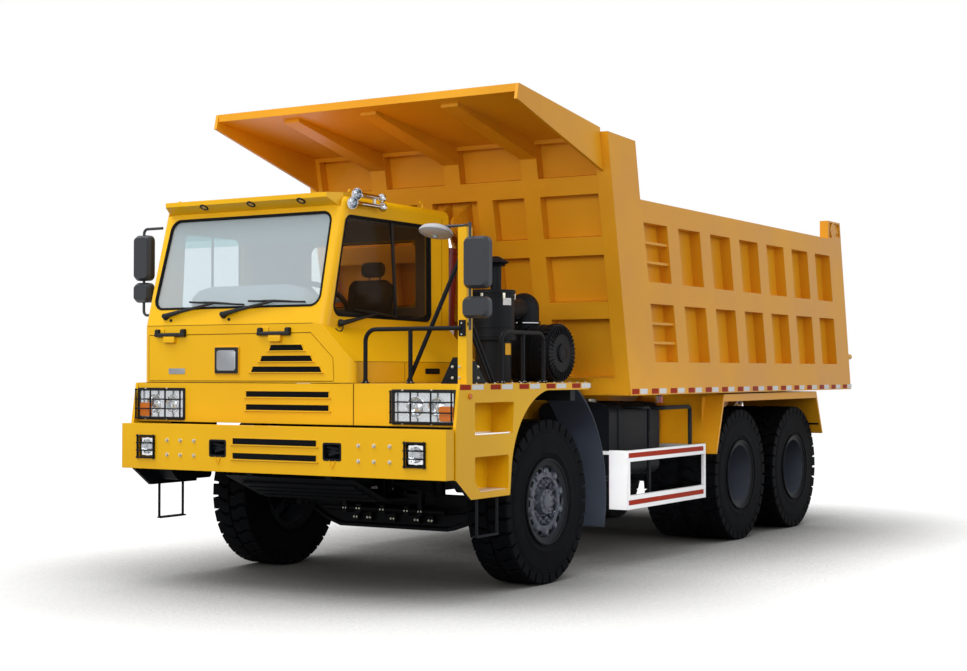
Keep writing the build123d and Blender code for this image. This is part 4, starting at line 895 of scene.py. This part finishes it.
@draws(windscreen_wipers=(TRIM, 0.8), side_window_wiper=(TRIM, 0.8))
def wipers(front, side):
    for points in (((-1288, 2196), (-762, 2297), (-1053, 2313), (-471, 2281)),
                   ((-665, 2201), (-139, 2301), (-428, 2309), (150, 2290))):
        wiper(front, ON_SCREEN, *(screen_point(*point) for point in points))
        # washer jet beside the pivot
        turned(front, shifted(ON_SCREEN, points[0][0] + 640, 42, 0), [(13, 0), (12, 10), (5, 16)], 14)
    wiper(side, place(372, 0, 0, "left"), (368, 2126), (846, 2216), (560, 2236), (1131, 2196))
    wire("side_washer_pipe", [(384, 290, 2082), (404, 300, 2060), (404, 335, 2058), (404, 372, 2092),
                              (404, 345, 2106), (376, 330, 2112)], 5, TRIM)


@draws(visor_lamp_rims=(BLACK, 0, "chassis", "trim_black"), visor_lamp_lenses=(LENS,))
def visor_lamps(rims, domes):
    """Marker lamps let into the underside of the visor."""
    for x in (-1024, -522, -8):
        where = tipped(place(x, 352, 3113, "up"), 180 - VISOR_PITCH)
        tube(rims, where, [(38, -3), (38, 5), (32, 9), (26, 7), (26, -3)], 28)
        turned(domes, where, [(27, -2), (26, 6), (18, 13), (6, 16)])


def cast_pad(bm, x, z, size, corner, inset, shoulder, height):
    """A rounded pad on the fascia, drawn in at its top."""
    foot = rounded(oblong(*size, at=(x, z)), corner, 3)
    top = rounded(oblong(size[0] - 2 * inset, size[1] - 2 * inset, at=(x, z)), 8, 3)
    skin(bm, (0, FASCIA_S, 0), [(foot, 0), (foot, shoulder), (top, height)])


@draws(hatch_hinge_barrels=(TRIM, 1.5), hatch_hinge_straps=(YELLOW, 1.5, "service_hatch"))
def hatch_hinges(fixed, swinging):
    """A barrel on its two feet on the cab, and the strap that swings with the hatch."""
    for left, strap in ((-1375, -1220), (-285, -110)):
        bar(fixed, (left, 150, 2046), (left + 325, 150, 2046), 17, 14)
        for x in (left + 22, left + 300):
            cast_pad(fixed, x, 2072, (48, 44), 12, 6, 20, 34)
        cast_pad(swinging, strap, 2001.5, (124, 43), 10, 4, 31, 35)


@draws(blank_badge_base=(TRIM, 0, "service_hatch"), blank_badge_plates=(BRUSHED, 0, "service_hatch"))
def badge_places(base, plate):
    """Left blank: a black base with a plain bright plate, and a small bright plate."""
    block(base, (-613.5, 158, 1833), (244, 212, 10, -1), (244, 212, 10, 2), (238, 206, 8, 3.5))
    block(plate, (-613.5, 154.5, 1833), (196, 164, 22, 0), (196, 164, 22, 3), (186, 154, 18, 6))
    block(plate, (-1153, FASCIA_S, 1746), (176, 46, 6, 0), (176, 46, 6, 3), (170, 40, 4, 4.5))


@draws(locker_latch_cup=(TRIM,), latch_grips=(TRIM, 1), door_lock_barrel=(CHROME, 0, "door_right"))
def latches(cup, grip, lock):
    """Locker latch in the left flare, and the handle bosses and lock of the right door."""
    latch = (1288, 1745)
    block(cup, (FLARE_X, 0, 0, "left"), (216, 46, 12, 0), (216, 46, 12, 4), (202, 32, 8, 5),
          (198, 28, 6, 0.5), at=latch)
    block(grip, (FLARE_X + 1, 0, 0, "left"), (150, 14, 5, 0), (150, 14, 5, 12), (140, 8, 3, 16), at=latch)
    for s in (1285, 1385):
        turned(grip, (DOOR_X, s, 2057, "right"), [(26, 0), (26, 4), (20, 7)], 20)
    turned(lock, (DOOR_X, 1330, 1985, "right"), [(16, 0), (16, 5), (13, 8), (5, 8.5)], 20)


TRUMPET = [(20, -4), (23, 30), (31, 74), (43, 101), (51, 110), (48, 110), (39, 98), (27, 74), (18, 30),
           (3, -20)]


def make_roof_fittings():
    """Two open trumpets on their bracket outside the roof's left edge, and the hooks for lifting."""
    horns = bmesh.new()
    for x, s, z, tail in ((420, 631, 3156, 250), (430, 560, 3082, 320)):
        tube(horns, (x, s, z), [(17, -tail), *TRUMPET, (3, -tail + 2)], 40)
        drum = ((10, 34), (31, 32), (37, 24), (37, 6), (30, 0))
        turned(horns, (x, s, z), [(radius, up - tail) for radius, up in drum], 28)
    slab(horns, (370, 432), (744, 776), (3077, 3087))
    slab(horns, (413, 427), (744, 776), (3082, 3156))
    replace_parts(piece("air_horn_trumpets", horns, CHROME), "air_horns")
    for (x, tag), s in product(((-1482, "right"), (322, "left")), (560, 1590)):
        wire(f"roof_hook_{tag}_{s}", [(x, s + 24, 3140), (x, s + 24, 3176), (x, s + 14, 3202),
                                      (x, s - 12, 3202), (x, s - 18, 3180)], 6, YELLOW)


make_roof_fittings()


# ---------------- cab inside
@draws(cab_panel_seams=(SEAL,), cab_lining=(LINING, 4))
def seams_and_lining(seams, lining):
    """Sealed seams between the outer pressings; pale panels inside on the cab's roof and pillars."""
    for x, s, z in (
            ((639.6, 641.2), (878, 882), (1662, 1818)), ((639.6, 641.2), (1560, 1564), (1662, 1818)),
            ((-1531.2, -1529.6), (1640, 1643), (1720, 2980)), ((369, 371.2), (1846, 1849), (2130, 3070)),
            ((639.6, 641.2), (186, 1990), (1819, 1822)), ((-1480, 250), (168.6, 170.6), (2122, 2125)),
            ((-1484, 630), (168.4, 170.6), (1652, 1655.5))):
        slab(seams, x, s, z)
    for x, s, z in (
            ((-1470, 310), (520, 1940), (3070, 3086)), ((-1472, -1462), (1512, 1950), (1720, 3070)),
            ((302, 312), (1690, 1950), (1720, 3070)), ((-1470, -1190), (1944, 1953), (1720, 3070)),
            ((30, 310), (1944, 1953), (1720, 3070)), ((-1190, 30), (1944, 1953), (1720, 2310)),
            ((-1190, 30), (1944, 1953), (2910, 3070))):
        slab(lining, x, s, z)


@draws(steering_wheel_grip=(TRIM, 1.5), dashboard_panels=(TRIM, 2), dashboard_cowl=(DASH, 4),
       instrument_dials=(BRUSHED, 0, "chassis", "trim_black"), screen_shade_band=(SHADE,))
def dashboard_details(grip, panels, cowl, dials, shade):
    """Steering wheel, instrument hood with its dials, rocker switches, cowl, and the screen's shade band."""
    wheel = tipped(place(-150, 800, 2330, "up"), -35)
    tube(grip, wheel, [(235 + out, up) for out, up in ring(22, 12)], 48)
    turned(grip, wheel, [(64, 6), (62, 18), (44, 28), (16, 31)], 32)
    for turn in (90, 210, 330):
        block(grip, spun(wheel, turn, 140), (170, 46, 12, 4), (168, 40, 12, 13))
    block(panels, tipped(place(-150, 596, 2216, "rear"), 14), (420, 150, 50, -120), (420, 150, 50, 0),
          (396, 128, 42, 0), (392, 122, 40, -18))
    for x in range(-984, -619, 52):
        block(panels, (x, 654, 2085, "rear"), (34, 52, 5, 0), (30, 46, 5, 9))
    sheet(panels, (-760, 612, 2190, "rear"), (190, 110, 10), -40, 12)
    block(cowl, (-640, 515, 2200, "up"), (1240, 190, 60, 0), (1210, 180, 60, 160), (1100, 150, 60, 222),
          (840, 96, 44, 254))
    for x, r in ((-245, 44), (-150, 52), (-55, 44)):
        where = tipped(place(x, 600, 2216, "rear"), 14)
        turned(dials, where, [(r, -17), (r, -8), (r - 5, -6), (r - 6, -12), (8, -12)], 32)
    # three steps of tint
    for depth, foot in ((-44, 690), (-38, 750), (-32, 810)):
        band = [(-812, foot), (812, foot), (798, 915), (-798, 915)]
        skin(shade, ON_SCREEN, [(band, depth), (band, depth + 2)])


# ---------------- deck, mirrors and air cleaner
def strip(bm, x, side, tag, middle, z, length, height, proud, corner=3):
    """A flat strip on a side of the truck."""
    sheet(bm, (x, 0, 0, tag), (length, height, corner), -0.5, proud, at=(side * middle, z))


def tape_strips(name, x, side, tag, start, pairs, period, runs, z, height, body="chassis"):
    """Alternating red and white retro-reflecting tape along a side."""
    for colour, material, run, offset in (("red", TAPE_RED, runs[0], 0),
                                          ("white", TAPE_WHITE, runs[1], runs[0] + 20)):
        bm = bmesh.new()
        for number in range(pairs):
            strip(bm, x, side, tag, start + number * period + offset + run / 2, z, run, height, 0.8)
        piece(f"{name}_{colour}", bm, material, 0, body)


for side, tag in SIDES:
    tape_strips(f"deck_tape_{tag}", side * DECK_EDGE_X, side, tag, 176, 5, 437, (150, 162), 1625.5, 39)
    tape_strips(f"body_tape_{tag}", side * 1634, side, tag, 3006, 15, 405.7, (145, 150), 1565, 48,
                "dump_body")
    guard = bmesh.new()
    for z in (996, 577):
        strip(guard, side * 1605, side, tag, 3815, z, 1640, 44, 1.2, 4)
    piece(f"guard_strips_{tag}", guard, TAPE_RED)


@draws(deck_screws=(ZINC,), rail_foot_flanges=(BLACK, 1), side_marker_lenses=(AMBER,),
       step_tread_plates=(TREAD_PLATE,), deck_tread_left=(CHEQUER,), deck_tread_right=(CHEQUER,))
def deck_fittings(screws, flanges, markers, treads, left_deck, right_deck):
    """Rail feet and screws of the left deck; tread sheets, marker lamps and step plates of both."""
    off = 25 * cos(pi / 4)
    for x, s in ((692, 262), (1110, 262), (1572, 834), (1572, 1170), (1572, 1500)):
        turned(flanges, (x, s, DECK_Z, "up"), [(34, 0), (34, 9), (30, 11), (21, 12), (20, 30)])
        bolts(screws, 9, (x - off, x + off), (s - off, s + off), (DECK_Z + 10,), "up")
    bolts(screws, 15, (1484, 1546), (268,), (1696, 1779))
    bolts(screws, 15, (DECK_EDGE_X,), (425,), (1696, 1779), "left")
    bolts(screws, 13, (1574,), (258,), (2021, 2104))
    bolts(screws, 13, (1593,), range(430, 2200, 135), (DECK_Z + 1,), "up")
    for bm, x in ((left_deck, (648, 1596)), (right_deck, (-1596, -1545))):
        slab(bm, x, (200, 2222), (DECK_Z - 0.5, DECK_Z + 1.5))
    for side, tag in SIDES:
        turned(markers, (side * DECK_EDGE_X, 309, 1559, tag), [(22, 0), (22, 9), (18, 14), (8, 16)])
        inner, outer = side * 1412, side * 1596
        slab(treads, (inner, outer), (405, 930), (1265, 1268))
        slab(treads, (inner, outer), (478, 868), (837, 840))
        slab(treads, (inner, inner + side * 6), (405, 930), (1268, 1276))
        slab(treads, (outer - side * 6, outer), (405, 930), (1268, 1276))


@draws(mirror_glasses=(SILVERED,), round_mirror_cap=(MIRROR_CAP,))
def mirror_glasses(glass, cap):
    for left, right, low, high, s in ((1615, 1835, 2358, 2744, 262), (1605, 1835, 2137, 2298, 262),
                                      (-1835, -1645, 2521, 2912, 432), (-1835, -1645, 2334, 2505, 432)):
        sheet(glass, (0, s, 0, "rear"), (right - left - 26, high - low - 26, 24), -1, 1.5,
              at=(-(left + right) / 2, (low + high) / 2))
    dome = tipped(place(1331, 280, 2806, "up"), -16)
    turned(cap, dome, [(131, -21), (131.5, -7), (113, 16), (60, 38), (14, 45)], 44)
    turned(cap, dome, [(131, -20), (112, -31), (60, -38), (20, -40)], 44)
    bolt(cap, shifted(tipped(dome, 180), 0, 0, 40), 26)


def wrapped(bm, radius, start, end, low, high, steps=8):
    """A thin label wrapped on the can; angles run from the front toward the left."""
    turns = [radians(start + (end - start) * i / steps) for i in range(steps + 1)]
    ways = ((radius, turns), (radius + 1.2, turns[::-1]))
    outline = [(r * sin(a), -r * cos(a)) for r, way in ways for a in way]
    skin(bm, (1100, 1500, 0, "up"), [(outline, low), (outline, high)])


@draws(air_cleaner_bands=(BLACK,), air_cleaner_latches=(ZINC, 0.8), blank_tag=(YELLOW,),
       blank_label=(TAPE_WHITE, 0, "chassis", "guard_white"),
       elbow_clamp=(CHROME, 0, "chassis", "polished_steel"))
def air_cleaner_fittings(bands, latches, tag, label, clamp):
    can, joint = place(1100, 1500, 0, "up"), place(1024, 2140, 0, "up")
    drum, cover = place(0, 2140, 1900, "left"), place(1398, 2140, 1900, "left")
    # straps: (place, radius, level, width, thickness, chamfer, sides)
    straps = [(can, radius, z, 12, 4, 1, 48)
              for z, radius in ((2008, 188), (2026, 188), (2350, 175), (2100, 175))]
    straps += [(joint, 140, z, 9, 4, 1, 48) for z in (2146, 2166)]
    straps += [(drum, 240, x, 16, 7, 3, 64) for x in (980, 1060, 1140, 1220, 1290)]
    for where, radius, level, wide, thick, chamfer, sides in straps:
        tube(bands, where, [(radius, level), (radius + thick, level + chamfer),
                            (radius + thick, level + wide - chamfer), (radius, level + wide)], sides)
    for turn in range(30, 390, 60):
        # over-centre latches that hold the lid
        block(latches, spun(can, turn, 177, 0, 2372), (14, 22, 3, -34), (16, 24, 3, -10), (16, 24, 3, 12),
              (8, 20, 3, 24))
    # ribbed end cover with a raised boss
    for turn in range(0, 360, 10):
        block(bands, spun(cover, turn, 196), (72, 10, 0, -2), (66, 5, 0, 11))
    turned(bands, cover, [(80, -1), (76, 14), (52, 22), (46, 12), (10, 10)], 40)
    # rain cap's louvres
    for z in (2634, 2652):
        tube(bands, (1090, 1560, z, "up"), [(60, -8), (82, -14), (84, -11), (60, 0)], 40)
    wrapped(label, 175, 58, 88, 2286, 2345)
    wrapped(tag, 150, 72, 106, 1880, 1975)
    tube(clamp, joint, [(141, 2155), (147, 2156), (147, 2164), (141, 2165)], 48)


# ---------------- load body and under the truck
@draws(floor_marker_white=(LENS, 3, "dump_body"), floor_marker_red=(RED_LENS, 3, "dump_body"),
       floor_marker_brackets=(BLACK, 0, "dump_body"), tailgate_pin_caps=(BODY_YELLOW, 1.5, "dump_body"))
def body_fittings(white, red, brackets, caps):
    """Marker lamps that hang under the floor's edge, and the pin caps at the tailgate's ears."""
    for side, tag in SIDES:
        across = (side * 1534, side * 1568)
        slab(white, across, (3700, 3744), (1455, 1528))
        slab(red, across, (3748, 3792), (1455, 1528))
        slab(brackets, across, (3694, 3798), (1520, 1534))
        turned(caps, (side * 1602, 8560, 3400, tag), [(44, 0), (44, 14), (36, 20), (18, 21)], 28)


def make_front_axle(clamps, nuts):
    """Forging, brackets and rods of the front axle."""
    beam = []
    # dropped middle, a forged section under the straight beam
    for x, foot, head in ((-860, 520, 600), (-700, 430, 575), (-560, 384, 562),
                          (560, 384, 562), (700, 430, 575), (860, 520, 600)):
        half = [(62, foot), (62, foot + 26), (20, foot + 38), (20, head - 38), (62, head - 26), (62, head)]
        beam.append((half + [(-y, z) for y, z in reversed(half)], x))
    skin(clamps, (0, AXLES[0], 0, "left"), beam)
    for x in (-392, -250, 0, 250, 392):
        slab(clamps, (x - 26, x + 26), (1478, 1642), (520, 600))
        slab(clamps, (x - 30, x + 30), (1636, 1652), (440, 530))
        bolts(nuts, 15, (x - 15, x + 15), (1478,), (560,))
        bolts(nuts, 15, (x - 15, x + 15), (1638,), (470,))
    for s, z, reach, radius in ((1500, 560, 640, 26), (1010, 742, 560, 34)):
        bar(clamps, (-reach, s, z), (reach, s, z), radius, 16)
        for x in (-392, 392):
            slab(clamps, (x - 20, x + 20), (s - 30, s + 30), (z - 40, 812))
            bolts(clamps, 20, (x - 32, x + 32), (s - 26,), (z,))


@draws(axle_nuts=(ZINC, 0, "chassis", "chassis_black"), spring_clamps=(BLACK, 1.5), brake_chambers=(BLACK,),
       rear_lamp_lenses=(RED_LENS,), rear_flasher_lenses=(AMBER,), rear_lamp_bar=(BLACK, 2),
       fender_liners=(SEAL, 2), tank_caps=(ZINC, 1))
def underbody(nuts, clamps, chambers, red, amber, lamps, flaps, caps):
    for side, tag in SIDES:
        for s in (AXLES[0] - 66, AXLES[0] + 66):
            for x in (side * 333, side * 447):
                bar(clamps, (x, s, 676), (x, s, 838), 9, 10)
                bolt(clamps, (x, s, 690, "down"), 24)
            bar(clamps, (side * 328, s, 836), (side * 452, s, 836), 9, 10)
        for axle in AXLES[1:]:
            for s, x in product((axle - 62, axle + 62), (side * 455, side * 585)):
                bar(clamps, (x, s, 660), (x, s, 842), 10, 10)
            slab(clamps, (side * 448, side * 592), (axle - 84, axle + 84), (838, 856))
            turned(chambers, (side * 560, axle + 196, 700, "rear"),
                   [(30, -60), (74, -46), (80, -6), (86, -4), (86, 6), (80, 8), (72, 58), (30, 74)], 28)
        trunnion = place(side * 600, 6615, 1010, tag)
        turned(clamps, trunnion, [(96, -2), (96, 18), (88, 24), (50, 26), (46, 34)], 32)
        for turn in range(0, 360, 45):
            bolt(clamps, spun(trunnion, turn, 72, 0, 24), 18)
        slab(flaps, (side * 700, side * 1578), (7990, 7998), (1130, 1290))
        slab(lamps, (side * 560, side * 900), (8344, 8378), (1012, 1128))
        for x, bm in ((620, amber), (728, red), (836, red)):
            turned(bm, (side * x, 8378, 1070, "rear"), [(46, -2), (45, 8), (30, 15), (8, 18)], 28)
    slab(lamps, (-620, 620), (8342, 8362), (1020, 1060))
    make_front_axle(clamps, nuts)
    for x, s, z in ((900, 3600, 1450), (-900, 3520, 1440)):
        turned(caps, (x, s, z, "up"), [(66, -2), (66, 14), (58, 18), (58, 34), (50, 40), (16, 41)], 32)


@draws(hoist_sleeve=(WHITE, 0, "hoist_outer"), hoist_gland_rings=(RED, 0, "hoist_outer"))
def hoist_fittings(sleeve, rings):
    """A primed sleeve on the cylinder's tube, and its gland rings."""
    where = along(spot(0, 2330, 1130), spot(0, 2500, 3050))
    tube(sleeve, where, [(112, 560), (114.5, 561), (114.5, 1000), (112, 1001)], 48)
    for low in (1010, 1690):
        tube(rings, where, [(112, low), (119, low + 2), (119, low + 26), (112, low + 28)], 48)


make_camera_and_lights()
make_world()
make_floor()
finish_nodes()
bpy.context.scene.view_settings.view_transform = "Standard"
